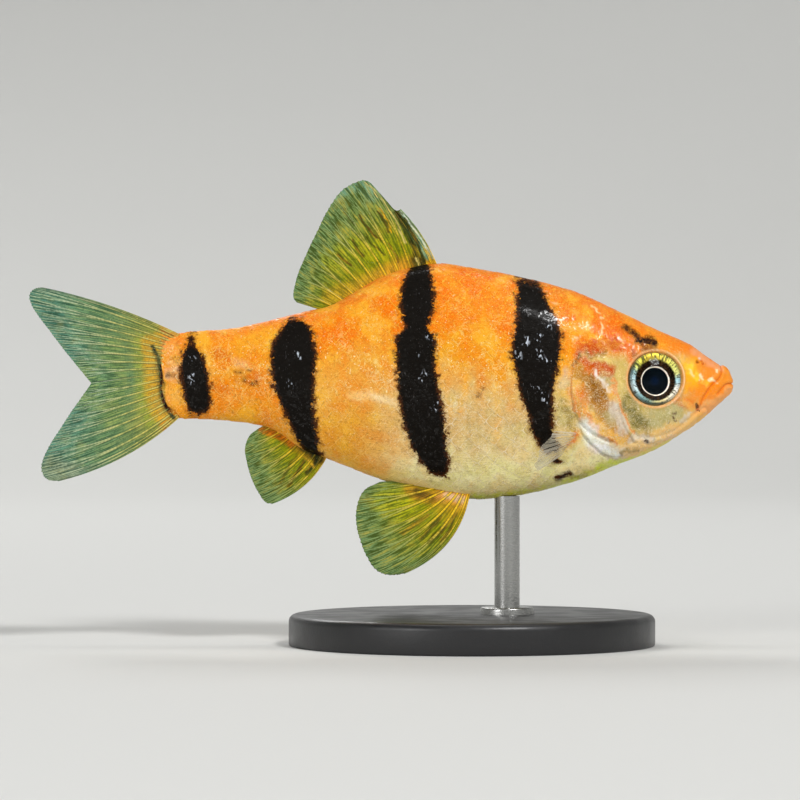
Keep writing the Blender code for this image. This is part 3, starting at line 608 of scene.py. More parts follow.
def paint_head(x, z, tint, colours):
    """Lays the head's own colours over the body's."""
    on_head = np.maximum(soft(gill_depth(x, z), -0.1, 0.4), soft(x, 19.0, 19.6))
    crown = soft(z - 0.45 * (22.4 - x), -0.2, 1.4)
    tint = over(
        tint,
        (colours.cheek, on_head * (1 - soft(z, 1.4, 2.6))),
        (colours.snout, on_head * soft(x, 21.2, 22.8) * soft(z, -1.9, -0.4)),
        (colours.upper, on_head * crown * soft(z, 1.8, 2.8) * 0.9),
        (colours.chin, on_head * soft(z - 0.42 * (x - 19.0), -2.9, -3.9)),
        (colours.back, soft(body_measure(x, 1) - z, 1.1, 0.1) * 0.8),
        (colours.opercle, soft(outline_depth(x, z, OPERCLE), -0.05, 0.25)),
        (colours.lips, soft(x, 23.6, 24.2) * 0.6),
    )
    slit, _ = line_distance(x, z, MOUTH_SLIT)
    snout, _ = line_distance(x, z, SNOUT_FOLD)
    rim = np.hypot(x - EYE_X, z - EYE_Z) - EYE_RADIUS
    # Painted shade darkens the nostril pits.
    pit_shade = [
        (colours.shade, bump(np.hypot(x - spot_x, z - spot_z), 0, size * 0.7) * 0.75)
        for spot_x, spot_z, size in NOSTRILS
    ]
    return over(
        paint(x, z, tint, HEAD_MARKS, 1.4),
        # Painted shade: a darker red-orange line in the mouth slit and in the snout's fold.
        (colours.groove_shade, bump(slit, 0, 0.05) * 0.55 * (x > 23.9)),
        (colours.groove_shade, bump(snout, 0, 0.06) * 0.6),
        *pit_shade,
        (colours.fold, bump(rim, 0.10, 0.10) * 0.8),
        # Painted highlight: a pale line along the eyelid's edge, strongest at its front and top.
        (colours.rim, bump(rim, 0.17, 0.04) * (0.25 + 0.65 * soft(x + 0.6 * z, EYE_X - 0.8, EYE_X + 1.2))),
        # Painted shade in the crease at the eye's edge.
        (colours.shade, bump(rim, 0.0, 0.04) * 0.35),
    )


def glitter_amount(x, z):
    """How many pale metallic flecks, painted sparkles and painted glints a place of the body carries."""
    amount = 0.35 + 0.55 * bump(height_share(x, z), 0.15, 0.42)
    return amount * (1 - 0.65 * soft(x, 12.5, 14.5)) * (1 - 0.6 * soft(x, 20.6, 22.2))


def pepper_amount(x, z):
    """How much fine dark pepper a place of the body carries."""
    height = height_share(x, z)
    amount = 0.08 + 0.22 * soft(height, 0.15, -0.3) * soft(height, -0.95, -0.7)
    return np.clip(amount + 0.25 * soft(x, 4.0, -6.0), 0, 1)


def warm_amount(x, z):
    """How strongly a place is mottled with orange: fully on the upper and rear flank, little on the belly."""
    body = np.maximum(soft(height_share(x, z), -0.35, 0.25), 0.85 * soft(x, 4.0, -1.5))
    head = 0.40 + 0.60 * np.maximum(soft(z, 2.0, 2.8), soft(x, 21.2, 22.4) * soft(z, -2.2, -1.0))
    return np.clip(0.10 + 0.90 * body, 0, 1) * np.maximum(head, soft(-gill_depth(x, z), -0.3, 0.6))


def texture_amount(x, z):
    """How strongly the mottling shows: less on the gill cover and cheek, least on the smooth snout."""
    head = np.maximum(soft(gill_depth(x, z), -0.2, 0.5), soft(x, 19.0, 19.6))
    return 1 - (0.55 + 0.25 * soft(x, 20.6, 22.2)) * head * soft(z, 4.6, 3.4)


def mark(mesh, points, colours):
    """Writes the colour, bands, flecks and painted glints of each vertex for the skin's and the scales'
    material.
    """
    x, z = seen(points)
    over_back = np.where(x > 8.0, 0.05 + 0.6 * np.maximum(body_measure(x, 1) - z - 0.2, 0), 9.0)
    spots = [
        row for row in HEAD_MARKS + BODY_MARKS + TAIL_MARKS
        if row[0] in ("soot", "plum") or (row[0] == "umber" and row[2] < BROAD_STROKE)
    ]
    store(
        mesh, tint=paint(x, z, body_tint(x, z, colours), BODY_MARKS + TAIL_MARKS),
        band=np.maximum(np.minimum(band_depth(x, z), over_back), 1.15 * strongest(x, z, spots) - 1.0),
        texture=texture_amount(x, z), glitter=glitter_amount(x, z), pepper=pepper_amount(x, z),
        warmth=warm_amount(x, z), shine=strongest(x, z, GLINTS),
    )


def skin_relief(x, z):
    """How far the head's features stand out of the plain body, in millimetres."""
    radius = np.hypot(x - EYE_X, z - EYE_Z)
    socket = soft(radius, EYE_RADIUS + 0.07, EYE_RADIUS - 0.22)
    relief = 0.11 * bump(radius, EYE_RADIUS + 0.15, 0.10) - 1.25 * socket
    opercle, gill_skin = outline_depth(x, z, OPERCLE), outline_depth(x, z, GILL_SKIN)
    margin, skin_edge, preopercle, cheek, shoulder, slit, jaw = (
        line_distance(x, z, line)[0]
        for line in (OPERCLE[1:9], GILL_SKIN[:6], PREOPERCLE, CHEEK_LINE, SHOULDER_FOLD, MOUTH_SLIT, JAW_FOLD)
    )
    relief += 0.15 * soft(opercle, -0.03, 0.10) * (0.35 + 0.65 * soft(x, 16.9, 16.3))
    relief += 0.06 * soft(gill_skin, -0.03, 0.10) * (opercle < 0)
    relief -= 0.12 * bump(margin, 0.08, 0.09) * (opercle < 0)
    relief -= 0.10 * bump(skin_edge, 0.06, 0.09) * (gill_skin < 0)
    relief += 0.07 * bump(preopercle, 0, 0.13) - 0.05 * bump(preopercle, 0.24, 0.09)
    relief += 0.05 * bump(cheek, 0, 0.14) - 0.04 * bump(cheek, 0.24, 0.09)
    relief += 0.07 * bump(shoulder, 0, 0.20)
    lips = 0.75 + 0.25 * soft(x, 24.95, 24.45)
    relief += 0.05 * bump(slit, 0.24, 0.15) * lips - 0.11 * bump(slit, 0, 0.06)
    snout, share = line_distance(x, z, SNOUT_FOLD)
    fold = 0.05 * bump(snout, 0.20, 0.14) - 0.10 * bump(snout, 0, 0.065)
    relief += fold * soft(share, 1.0, 0.75) * soft(share, 0.02, 0.26)
    relief -= 0.035 * bump(snout, 0, 0.08) * soft(share, 0.26, 0.10)
    relief -= 0.05 * bump(jaw, 0, 0.10)
    for spot_x, spot_z, size in NOSTRILS:
        away = np.hypot(x - spot_x, z - spot_z)
        relief += 0.07 * bump(away, size * 1.25, 0.08) - 0.28 * bump(away, 0, size * 0.75)
    rough = 0.030 * (grain(x, z, 0.30, 21) - 0.5) + 0.016 * (grain(x, z, 0.13, 22) - 0.5)
    return relief + rough * soft(radius, 2.0, 2.3)


# Small tools for making shader nodes.

class Wires:
    """Places shader nodes in one tree and joins them."""

    def __init__(self, tree):
        self.tree = tree
        self.place = None

    def feed(self, socket, value):
        if isinstance(value, bpy.types.NodeSocket):
            self.tree.links.new(value, socket)
        elif isinstance(value, (tuple, list)) and len(value) == 3 and socket.type == "RGBA":
            socket.default_value = (*value, 1.0)
        else:
            socket.default_value = value

    def put(self, sockets, **values):
        """Feeds sockets by their names, which have _ for each blank."""
        for name, value in values.items():
            self.feed(sockets[name.replace("_", " ")], value)

    def shade(self, **values):
        """Feeds the material's Principled shader."""
        self.put(self.tree.nodes["Principled BSDF"].inputs, **values)

    def node(self, kind, **settings):
        made = self.tree.nodes.new(kind)
        for name, value in settings.items():
            setattr(made, name, value)
        return made

    def attribute(self, name, output="Fac"):
        return self.node("ShaderNodeAttribute", attribute_name=name).outputs[output]

    def maths(self, operation, first, second=0.0):
        made = self.node("ShaderNodeMath", operation=operation)
        self.feed(made.inputs[0], first)
        self.feed(made.inputs[1], second)
        return made.outputs[0]

    def times(self, first, second):
        return self.maths("MULTIPLY", first, second)

    def add(self, first, second):
        return self.maths("ADD", first, second)

    def less(self, first, second):
        return self.maths("SUBTRACT", first, second)

    def mix(self, factor, first, second, blend="MIX"):
        made = self.node("ShaderNodeMix", data_type="RGBA", blend_type=blend, clamp_factor=True)
        self.feed(made.inputs[0], factor)
        self.feed(made.inputs[6], first)
        self.feed(made.inputs[7], second)
        return made.outputs[2]

    def layers(self, colour, *coats):
        """Lays colours over one another, each with its mask and, where it isn't a plain mix, its blend."""
        for mask, tint, *blend in coats:
            colour = self.mix(mask, colour, tint, *blend)
        return colour

    def stretch(self, value, low, high, to_low=0.0, to_high=1.0):
        made = self.node("ShaderNodeMapRange", interpolation_type="SMOOTHSTEP")
        for socket, number in zip(made.inputs, (value, low, high, to_low, to_high)):
            self.feed(socket, number)
        return made.outputs[0]

    def noise_at(self, place, scale, detail, distortion=0.0):
        made = self.node("ShaderNodeTexNoise")
        self.put(made.inputs, Vector=place, Scale=scale, Detail=detail, Distortion=distortion)
        return made.outputs["Fac"]

    def noise(self, size, detail=2.0, stretch=None, distortion=0.0):
        """Noise whose spots are about `size` millimetres wide."""
        if self.place is None:
            self.place = self.node("ShaderNodeTexCoord").outputs["Object"]
        place = self.place
        if stretch:
            mapping = self.node("ShaderNodeMapping")
            self.put(mapping.inputs, Vector=place, Scale=stretch)
            place = mapping.outputs[0]
        return self.noise_at(place, 1 / (size * MM), detail, distortion)

    def lines(self, noise, level, width, strength=1.0):
        """Thin curling lines where a noise passes one level."""
        return self.stretch(self.maths("ABSOLUTE", self.less(noise, level)), width, 0.0, 0.0, strength)

    def joined(self, *parts):
        """One place from up to three numbers."""
        made = self.node("ShaderNodeCombineXYZ")
        for socket, part in zip(made.inputs, parts):
            self.feed(socket, part)
        return made.outputs[0]

    def bump(self, height, distance, strength):
        made = self.node("ShaderNodeBump")
        self.put(made.inputs, Strength=strength, Distance=distance * MM, Height=height)
        return made.outputs[0]


def start_material(name, **values):
    """A new material and its wires, with the given plain values on its Principled shader."""
    material = bpy.data.materials.new(name)
    material.use_nodes = True
    wires = Wires(material.node_tree)
    wires.shade(**values)
    return material, wires


def start_group(name, inputs, outputs):
    """A new shader group, with a colour output before the named ones, or the one that was made before."""
    if name in bpy.data.node_groups:
        return bpy.data.node_groups[name], None, None, None
    group = bpy.data.node_groups.new(name, "ShaderNodeTree")
    for label, default in inputs.items():
        colour = isinstance(default, tuple)
        kind = "NodeSocketColor" if colour else "NodeSocketFloat"
        made = group.interface.new_socket(label, in_out="INPUT", socket_type=kind)
        made.default_value = (*default, 1.0) if colour else default
    group.interface.new_socket("Colour", in_out="OUTPUT", socket_type="NodeSocketColor")
    for label in outputs:
        group.interface.new_socket(label, in_out="OUTPUT", socket_type="NodeSocketFloat")
    wires = Wires(group)
    source = wires.node("NodeGroupInput")
    target = wires.node("NodeGroupOutput")
    return group, wires, source.outputs, target.inputs


def use_group(wires, group, **values):
    made = wires.node("ShaderNodeGroup", node_tree=group)
    wires.put(made.inputs, **values)
    return made.outputs


def markings_group():
    """Mottling, pale flecks, painted sparkles and glints, dark pepper and the ragged black bands, shared by
    skin and scales.
    """
    group, wires, given, out = start_group(
        "Barb markings",
        {
            "Tint": (0.8, 0.4, 0.1), "Band": -1.0, "Glitter": 0.5, "Pepper": 0.5, "Warmth": 1.0, "Shine": 0.0,
            "Texture": 1.0, "Ink": (0.01, 0.008, 0.006),
        },
        ("Ink mask", "Height", "Wet"),
    )
    if wires is None:
        return group
    times, stretch, noise = wires.times, wires.stretch, wires.noise
    warmth, texture = given["Warmth"], given["Texture"]
    coarse, fine, grains = noise(1.9, 3.0), noise(0.42, 3.0), noise(0.12, 2.0)
    specks = stretch(noise(0.17, 1.0, stretch=(1.0, 1.0, 0.8)), 0.61, 0.68)
    pepper = times(specks, times(given["Pepper"], texture))
    cool, warm, glitter = wires.less(1.0, warmth), times(warmth, texture), times(given["Glitter"], texture)

    def threads(size, level, width, strength):
        line = wires.lines(noise(size, 1.0, distortion=1.8), level, width, strength)
        return times(line, stretch(texture, 0.18, 0.45, 0.15, 1.0))

    tone = times(times(cool, 0.34), texture)
    dull = times(wires.add(times(cool, 0.36), 0.10), texture)
    pale_line = wires.mix(warmth, (0.88, 0.80, 0.58), (1.0, 0.56, 0.06))
    painted_glint_colour = wires.mix(warmth, (0.92, 0.86, 0.68), (1.0, 0.76, 0.26))
    curls = wires.lines(noise(0.50, 2.0, distortion=1.2), 0.5, 0.045)
    curls = times(curls, stretch(noise(1.3, 1.0), 0.45, 0.56))
    colour = wires.layers(
        given["Tint"],
        (times(stretch(coarse, 0.47, 0.64, 0.0, 0.70), warm), (1.0, 0.62, 0.20), "MULTIPLY"),
        (times(stretch(coarse, 0.49, 0.36, 0.0, 0.45), warm), (1.0, 0.55, 0.04)),
        (times(stretch(coarse, 0.50, 0.60), tone), (1.0, 0.76, 0.56), "MULTIPLY"),
        (times(stretch(coarse, 0.50, 0.40), tone), (0.84, 0.95, 0.56), "MULTIPLY"),
        (times(stretch(fine, 0.50, 0.66), dull), (0.66, 0.60, 0.44), "MULTIPLY"),
        (threads(0.75, 0.54, 0.030, 0.42), wires.mix(warmth, (0.40, 0.33, 0.13), (0.60, 0.17, 0.012))),
        (threads(0.48, 0.49, 0.026, 0.62), pale_line),
        (threads(0.27, 0.50, 0.032, 0.40), pale_line),
        # Painted highlights: pale glints along the wet curls.
        (times(times(curls, 0.62), given["Glitter"]), painted_glint_colour),
        # Yellow metallic flecks, then rarer pale flecks painted as sparkles.
        (times(times(stretch(grains, 0.62, 0.67), glitter), 0.45), (1.0, 0.66, 0.14)),
        (times(stretch(noise(0.13, 0.0), 0.76, 0.80), glitter), (1.0, 0.86, 0.50)),
        (times(pepper, 0.60), (0.20, 0.07, 0.012)),
    )
    ragged = wires.add(times(wires.less(fine, 0.5), 1.05), times(wires.less(grains, 0.5), 0.60))
    depth = wires.add(given["Band"], ragged)
    colour = wires.mix(stretch(depth, -0.34, 0.02, 0.0, 0.62), colour, (0.15, 0.045, 0.006))
    mask = stretch(depth, -0.07, 0.08)
    # Painted highlights on the black bands: faint grey specks, and pale blue glints where the Shine strokes
    # lie.
    band_glints = times(given["Shine"], stretch(noise(0.20, 0.0, stretch=(1.5, 1.0, 0.7)), 0.57, 0.62))
    ink = wires.layers(
        given["Ink"],
        (times(stretch(depth, 0.42, 0.0), stretch(fine, 0.46, 0.56, 0.0, 0.9)), (0.10, 0.028, 0.004)),
        (stretch(noise(0.15, 2.0, stretch=(1.5, 1.0, 0.6)), 0.66, 0.72, 0.0, 0.30), (0.16, 0.15, 0.15)),
        (times(band_glints, 0.9), (0.72, 0.78, 0.88)),
    )
    wires.put(
        out, Colour=wires.mix(mask, colour, ink), Ink_mask=mask, Height=wires.add(fine, times(grains, 0.5)),
        Wet=wires.maths("MAXIMUM", curls, stretch(noise(0.24, 0.0), 0.66, 0.72)),
    )
    return group


def marked_surface(name, colours, coat):
    """The start of the skin's and the scales' material, with their markings."""
    material, wires = start_material(
        name, Coat_Roughness=0.10, Coat_IOR=1.4, Subsurface_Weight=0.04,
        Subsurface_Radius=(1.0, 0.45, 0.2), Subsurface_Scale=0.0003, IOR=1.42, Specular_IOR_Level=0.08,
    )
    words = ("Band", "Glitter", "Pepper", "Warmth", "Shine", "Texture")
    masks = {word: wires.attribute(word.lower()) for word in words}
    marks = use_group(
        wires, markings_group(), Tint=wires.attribute("tint", "Color"), Ink=tuple(colours.ink), **masks
    )
    wires.shade(Coat_Weight=wires.stretch(marks["Wet"], 0.0, 1.0, 0.04, coat))
    return material, wires, marks


def skin_material(colours):
    material, wires, marks = marked_surface("barb_skin", colours, 0.50)
    rough = wires.stretch(marks["Height"], 0.5, 1.0, 0.26, 0.46)
    wires.shade(
        Base_Color=marks["Colour"], Roughness=wires.add(rough, wires.times(marks["Ink mask"], 0.2)),
        Normal=wires.bump(marks["Height"], 0.05, 0.7),
    )
    return material


def scale_material(colours):
    """Clear horny plates: the skin's markings with a pale rim, a line of painted shade beside it and fine
    ridges.
    """
    material, wires, marks = marked_surface("barb_scale", colours, 0.55)
    times, stretch = wires.times, wires.stretch
    rim, warmth, luck, across, along = (
        wires.attribute(name) for name in ("plate_rim", "warmth", "plate_luck", "plate_across", "plate_along")
    )
    show = wires.less(1.0, marks["Ink mask"])
    wobbly = wires.add(rim, times(wires.less(wires.noise(0.2, 1.0), 0.5), 0.2))
    edge = times(stretch(wobbly, 0.84, 0.97), stretch(warmth, 0.0, 1.0, 0.58, 0.50))
    edge = times(times(edge, stretch(wires.noise(0.6, 2.0), 0.42, 0.58, 0.15, 1.0)), show)
    # Painted shade: a darker line just inside the pale rim.
    beside = times(stretch(rim, 0.74, 0.84), stretch(rim, 0.92, 0.86, 0.0, 0.25))
    shade = wires.layers(
        marks["Colour"],
        (times(stretch(luck, 0.0, 1.0, 0.0, 0.16), show), (0.93, 0.72, 0.42), "MULTIPLY"),
        (edge, wires.mix(warmth, (0.92, 0.84, 0.62), (1.0, 0.56, 0.06))),
        (times(beside, show), (0.72, 0.58, 0.40), "MULTIPLY"),
    )
    angle = wires.maths("ARCTAN2", across, wires.add(along, 1.6))
    relief = wires.add(marks["Height"], times(wires.maths("SINE", times(angle, 44.0)), 0.06))
    rough = stretch(marks["Height"], 0.5, 1.0, 0.24, 0.42)
    wires.shade(
        Base_Color=shade, Roughness=wires.add(rough, times(marks["Ink mask"], 0.2)),
        Normal=wires.bump(relief, 0.055, 0.8),
    )
    return material


# The skin and its scales.

def skin_rows():
    """Places along the fish for the skin's rings: dense on the head, where it carries the detail."""
    snout = BODY[:168:4, 0]
    head = np.arange(23.66, 12.5, -0.046)
    body = np.arange(12.4, -14.55, -0.30)
    tail = BODY[-36::3, 0]
    tail = tail[tail < -14.56]
    return np.concatenate([snout[snout > 23.68], head, body, tail, [BODY[-1, 0]]])


def build_skin(colours, depth):
    """Wraps a flat grid round the body, so that the grid's own map is the skin's unwrap."""
    places = skin_rows()
    rows = len(places) + 2
    deselect_all()
    bpy.ops.mesh.primitive_grid_add(x_subdivisions=SKIN_AROUND, y_subdivisions=rows - 1, size=1)
    skin = bpy.context.active_object
    skin.name = skin.data.name = "barb_body_skin"
    mesh = skin.data
    count = len(mesh.vertices)
    flat = np.empty(count * 3)
    mesh.vertices.foreach_get("co", flat)
    flat = flat.reshape(-1, 3)
    column = np.rint((flat[:, 0] + 0.5) * SKIN_AROUND).astype(int)
    row = np.rint((flat[:, 1] + 0.5) * (rows - 1)).astype(int)
    turn = 2 * np.pi * (column % SKIN_AROUND) / SKIN_AROUND + np.pi
    x = places[np.clip(row - 1, 0, len(places) - 1)]
    points = body_point(x, turn, 1)
    normal = body_normal(np.clip(x, -15.3, BODY_FRONT), turn, 1)
    coated = soft(x, 13.6, 12.9) * soft(x, -15.2, -14.6)
    lift = skin_relief(*seen(points)) - depth * coated
    _, half_height, half_width = section(x)
    slim = np.where(x > 24.0, 0.5, np.minimum(half_height, half_width) * 0.8)
    points = points + normal * np.maximum(lift, -slim)[:, None]
    for end_row, next_row in ((0, 1), (rows - 1, rows - 2)):
        points[row == end_row] = points[row == next_row].mean(axis=0)
    mesh.vertices.foreach_set("co", metres(points).ravel())
    weld(skin, 1e-7)
    mesh.shade_smooth()
    mark(mesh, vertex_places(mesh), colours)
    return skin


class Unwrap:
    """Turns a place along the fish and a distance round it, up from the scales' midline, into a turn."""

    def __init__(self):
        self.x = np.linspace(BODY_REAR, BODY_FRONT, 800)
        self.turns = np.linspace(-0.5, np.pi + 0.5, 361)
        middle, half_height, half_width = section(self.x)
        reach, z = on_ring(middle[:, None], half_height[:, None], half_width[:, None], self.turns[None, :])
        steps = np.hypot(np.diff(reach, axis=1), np.diff(z, axis=1))
        self.run = np.concatenate([np.zeros((len(self.x), 1)), np.cumsum(steps, axis=1)], axis=1)
        line = np.interp(self.x, *zip(*SCALE_MIDLINE))
        mid_turn = np.arccos(np.clip((line - middle) / half_height, -1, 1))
        for i in range(len(self.x)):
            self.run[i] -= np.interp(mid_turn[i], self.turns, self.run[i])

    def row_at(self, x):
        return np.clip(((x - self.x[0]) / (self.x[1] - self.x[0])).round().astype(int), 0, len(self.x) - 1)

    def turn_at(self, x, up):
        row = self.row_at(x)
        turn = np.empty(len(x))
        for i in np.unique(row):
            chosen = row == i
            turn[chosen] = np.interp(-up[chosen], self.run[i], self.turns)
        return turn

    def limits(self, x):
        """How far up and down the rows reach at x, from back ridge to belly keel."""
        rows = self.row_at(x)
        return [-np.array([np.interp(turn, self.turns, self.run[i]) for i in rows]) for turn in (0.0, np.pi)]


def plate_pattern(across=6, along=5):
    """One leaf-shaped scale: its places, their share of the way to the rim, the rim and the faces."""
    u, v = np.meshgrid(np.linspace(-1, 1, across + 1), np.linspace(-1, 1, along + 1))
    wide, long = u * np.sqrt(1 - v**2 / 2), v * np.sqrt(1 - u**2 / 2)
    rounded = np.sqrt(np.clip(1 - wide**2, 0.02, 1))
    pointed = 0.35 * rounded + 0.65 * (1 - 0.774 * abs(wide))
    long = np.where(long > 0, long * np.minimum(pointed / rounded, 1), long)
    reach = np.maximum(abs(u), abs(v)).ravel()
    top = np.stack([wide.ravel(), long.ravel()], axis=-1)
    columns = across + 1
    starts = [j * columns + i for j in range(along) for i in range(across)]
    faces = [[a, a + 1, a + 1 + columns, a + columns] for a in starts]
    rim = list(range(columns))
    rim += [j * columns + across for j in range(1, along + 1)]
    rim += [along * columns + i for i in range(across - 1, -1, -1)]
    rim += [j * columns for j in range(along - 1, 0, -1)]
    base = len(top)
    for k in range(len(rim)):
        n = (k + 1) % len(rim)
        faces.append([rim[n], rim[k], base + k, base + n])
    faces.append([base + k for k in range(len(rim))][::-1])
    return top, reach, np.array(rim), faces


def keeps_scale(x, z):
    """Whether a scale's middle lies on the scaled body, off the head and the tail's end."""
    return (gill_depth(x, z) < -0.42) & (x < SCALES_FRONT) & (x > -14.1)


def scale_share(x):
    """The size of the scales at x beside the largest ones: they get smaller to the nape and the tail."""
    return np.interp(x, (-15.0, -9.0, 0.0, 11.0, 15.0, 18.0), (0.80, 0.92, 1.0, 1.0, 0.84, 0.70))


def build_scales(name, side, sizes, colours, unwrap, rng):
    """One flank's coat of overlapping scales, which are laid in rows from head to tail."""
    measures = ("pitch", "row_pitch", "length", "width", "thickness", "depth", "rise")
    pitch, row_pitch, length, width, thickness, depth, rise = (getattr(sizes, key) / MM for key in measures)
    columns = [SCALES_FRONT]
    while columns[-1] > BODY_REAR:
        columns.append(columns[-1] - pitch * scale_share(columns[-1]))
    columns = np.array(columns)
    centres = []
    for k in range(-22, 23):
        x = (columns[1:] + columns[:-1]) / 2 if k % 2 else columns
        up = np.full(len(x), k * row_pitch)
        top, low = unwrap.limits(x)
        room = (up < top - 0.10 * row_pitch) & (up > low + 0.10 * row_pitch)
        turn = unwrap.turn_at(x, up)
        z = body_point(x, turn, side)[:, 2]
        good = room & keeps_scale(x, z)
        centres.append(np.stack([x[good], up[good], turn[good]], axis=-1))
    centres = np.concatenate(centres)
    order = np.argsort(centres[:, 0], kind="stable")
    centres = centres[order]
    count = len(centres)
    pattern, reach, rim, faces = plate_pattern()
    luck = rng.random(count)
    size = 1 + (rng.random(count) - 0.5) * 0.10
    drift = (rng.random((count, 2)) - 0.5) * 0.08
    share = scale_share(centres[:, 0])
    wide = pattern[None, :, 0] * (width / 2 * size * (0.4 + 0.6 * share))[:, None]
    long = pattern[None, :, 1] * (length / 2 * size * share)[:, None]
    x = centres[:, 0, None] + drift[:, :1] - long
    up = centres[:, 1, None] + drift[:, 1:] + wide
    turn = unwrap.turn_at(x.ravel(), up.ravel()).reshape(x.shape)
    to_edge = (pattern[None, :, 1] + 1) / 2
    lift = thickness - depth + rise * to_edge + 0.010 * (1 - pattern[None, :, 0] ** 2) * to_edge
    lift = np.broadcast_to(lift, x.shape)
    top = body_point(x, turn, side) + body_normal(x, turn, side) * lift[..., None]
    low = body_point(x[:, rim], turn[:, rim], side)
    low = low + body_normal(x[:, rim], turn[:, rim], side) * (lift[:, rim] - thickness)[..., None]
    points = np.concatenate([top, low], axis=1)
    per = points.shape[1]
    flip = 1 if side < 0 else -1
    all_faces = [[i * per + k for k in face[::flip]] for i in range(count) for face in faces]
    piece = new_piece(name, points.reshape(-1, 3), all_faces)
    mesh = piece.data
    mark(mesh, points.reshape(-1, 3), colours)
    smooth_by_angle(piece, 40)
    disc = np.concatenate([pattern, pattern[rim]])
    store(
        mesh, plate_across=np.tile(disc[:, 0], count), plate_along=np.tile(disc[:, 1], count),
        plate_luck=np.repeat(luck, per), plate_rim=np.tile(np.concatenate([reach, reach[rim]]), count),
    )
    root_u = (centres[:, 0] + 16) / 42
    root_v = 0.5 + side * centres[:, 2] / (2 * np.pi) * 0.98
    bake = mesh.uv_layers.new(name="OFBake")
    u = root_u[:, None] + disc[None, :, 1] * 0.0015
    v = root_v[:, None] + disc[None, :, 0] * 0.0015
    places = np.stack([u.ravel(), v.ravel()], axis=-1)
    corners = np.empty(len(mesh.loops), dtype=np.int32)
    mesh.loops.foreach_get("vertex_index", corners)
    bake.data.foreach_set("uv", places[corners].astype(np.float32).ravel())
    return piece


# Fins: sheets whose rays are ridges on both faces. Each has its root and its edge in side view, the way into
# the body at its root, the bow of its first and last rays, and the gaps between its rays beside one another.

FINS = {
    "dorsal_fin": {
        "root": ((4.15, 8.45), (2.20, 8.10), (-0.30, 7.00), (-3.20, 5.60)), "inward": (0.2, -0.98),
        "edge": (
            (1.45, 12.35), (1.10, 12.28), (0.00, 13.45), (-0.98, 14.40), (-1.90, 14.22), (-2.75, 13.70),
            (-3.65, 12.50), (-4.50, 10.80), (-5.35, 9.00), (-5.95, 7.50), (-6.18, 6.05), (-5.95, 5.72),
        ),
        "bow": (0.060, 0.010), "gaps": (0.45, 0.45, 0.7, 1, 1.1, 1.1, 1.1, 1.1, 1, 1, 0.9, 0.8),
    },
    "anal_fin": {
        "root": ((-3.95, -5.45), (-5.40, -4.80), (-6.70, -3.75), (-7.90, -3.20)), "inward": (0.5, 0.87),
        "edge": (
            (-7.70, -8.60), (-8.15, -8.50), (-8.70, -7.75), (-9.20, -6.70), (-9.50, -5.60), (-9.62, -4.60),
            (-9.30, -3.75), (-8.75, -3.30),
        ),
        "bow": (-0.11, -0.01), "gaps": (0.5, 0.7, 1, 1.1, 1.1, 1.1, 1, 1),
    },
    "caudal_fin_upper": {
        "root": ((-14.20, 3.45), (-15.00, 2.60), (-15.25, 1.50), (-15.25, 0.72)), "inward": (0.0, 0.0),
        "edge": (
            (-23.55, 6.70), (-24.20, 6.80), (-24.72, 6.62), (-24.98, 6.20), (-24.72, 5.40), (-23.15, 3.22),
            (-21.60, 1.25), (-20.55, -0.02),
        ),
        "bow": (0.030, 0.0), "gaps": (0.35, 0.35, 0.6, 1, 1, 1, 1, 1, 1, 1, 1),
    },
    "caudal_fin_lower": {
        "root": ((-15.25, 0.72), (-15.20, -0.70), (-15.00, -1.60), (-14.20, -2.40)), "inward": (0.0, 0.0),
        "edge": (
            (-20.55, -0.02), (-21.55, -1.45), (-22.60, -3.00), (-23.65, -4.70), (-24.12, -6.00),
            (-23.80, -6.80), (-22.90, -7.00),
        ),
        "bow": (0.0, -0.065), "gaps": (1, 1, 1, 1, 1, 1, 1, 0.6, 0.35, 0.35),
    },
    "pelvic_fin": {
        "root": ((6.45, -8.05), (5.90, -8.05), (5.40, -7.95), (4.90, -7.75)), "inward": (0.0, 0.9),
        "edge": (
            (1.70, -13.42), (0.70, -13.56), (-0.20, -13.25), (-1.00, -12.20), (-1.50, -10.95), (-1.75, -9.60),
            (-1.60, -8.45), (-1.10, -7.60), (-0.10, -7.05),
        ),
        "bow": (-0.145, 0.02), "gaps": (0.5, 1, 1.1, 1.1, 1.1, 1, 1, 0.9),
    },
    "pectoral_fin": {
        "root": ((-0.7, -0.65), (-0.7, -0.22), (-0.7, 0.22), (-0.7, 0.65)), "inward": (0.0, 0.0),
        "edge": (
            (6.95, -1.85), (7.30, -1.35), (7.30, -0.60), (6.85, 0.35), (6.05, 1.15), (5.00, 1.70),
            (3.90, 1.90),
        ),
        "bow": (0.0, 0.0), "gaps": (0.6, 1, 1, 1, 1, 1, 1, 1, 1, 0.9),
    },
}
ROOT_SINK = 0.9  # how far the roots run into the body
PELVIC_Y, PELVIC_Z, PELVIC_SPLAY = 1.05, -8.05, 20.0
PECTORAL_CENTRE, PECTORAL_AXIS, PECTORAL_BASE = (13.55, 1.9, -4.15), (-0.36, 0.93, -0.10), (-0.60, 0.0, -0.80)


def midline_place(x, z):
    spot = np.stack([x, 0 * x, z], axis=-1)
    return spot, np.broadcast_to(np.array((0.0, 1.0, 0.0)), spot.shape)


def pelvic_place(side):
    lean = math.radians(PELVIC_SPLAY)

    def place(x, z):
        spot = np.stack([x, side * (PELVIC_Y + (PELVIC_Z - z) * math.tan(lean)), z], axis=-1)
        return spot, np.broadcast_to(np.array((0.0, side * math.cos(lean), math.sin(lean))), spot.shape)

    return place


def pectoral_place(side):
    centre = np.array((PECTORAL_CENTRE[0], side * PECTORAL_CENTRE[1], PECTORAL_CENTRE[2]))
    along = Vector((PECTORAL_AXIS[0], side * PECTORAL_AXIS[1], PECTORAL_AXIS[2])).normalized()
    base = Vector(PECTORAL_BASE)
    across = (base - along * base.dot(along)).normalized()
    normal = np.array(along.cross(across))

    def place(reach, spread):
        spot = centre + reach[..., None] * np.array(along) + spread[..., None] * np.array(across)
        return spot, np.broadcast_to(normal, spot.shape)

    return place


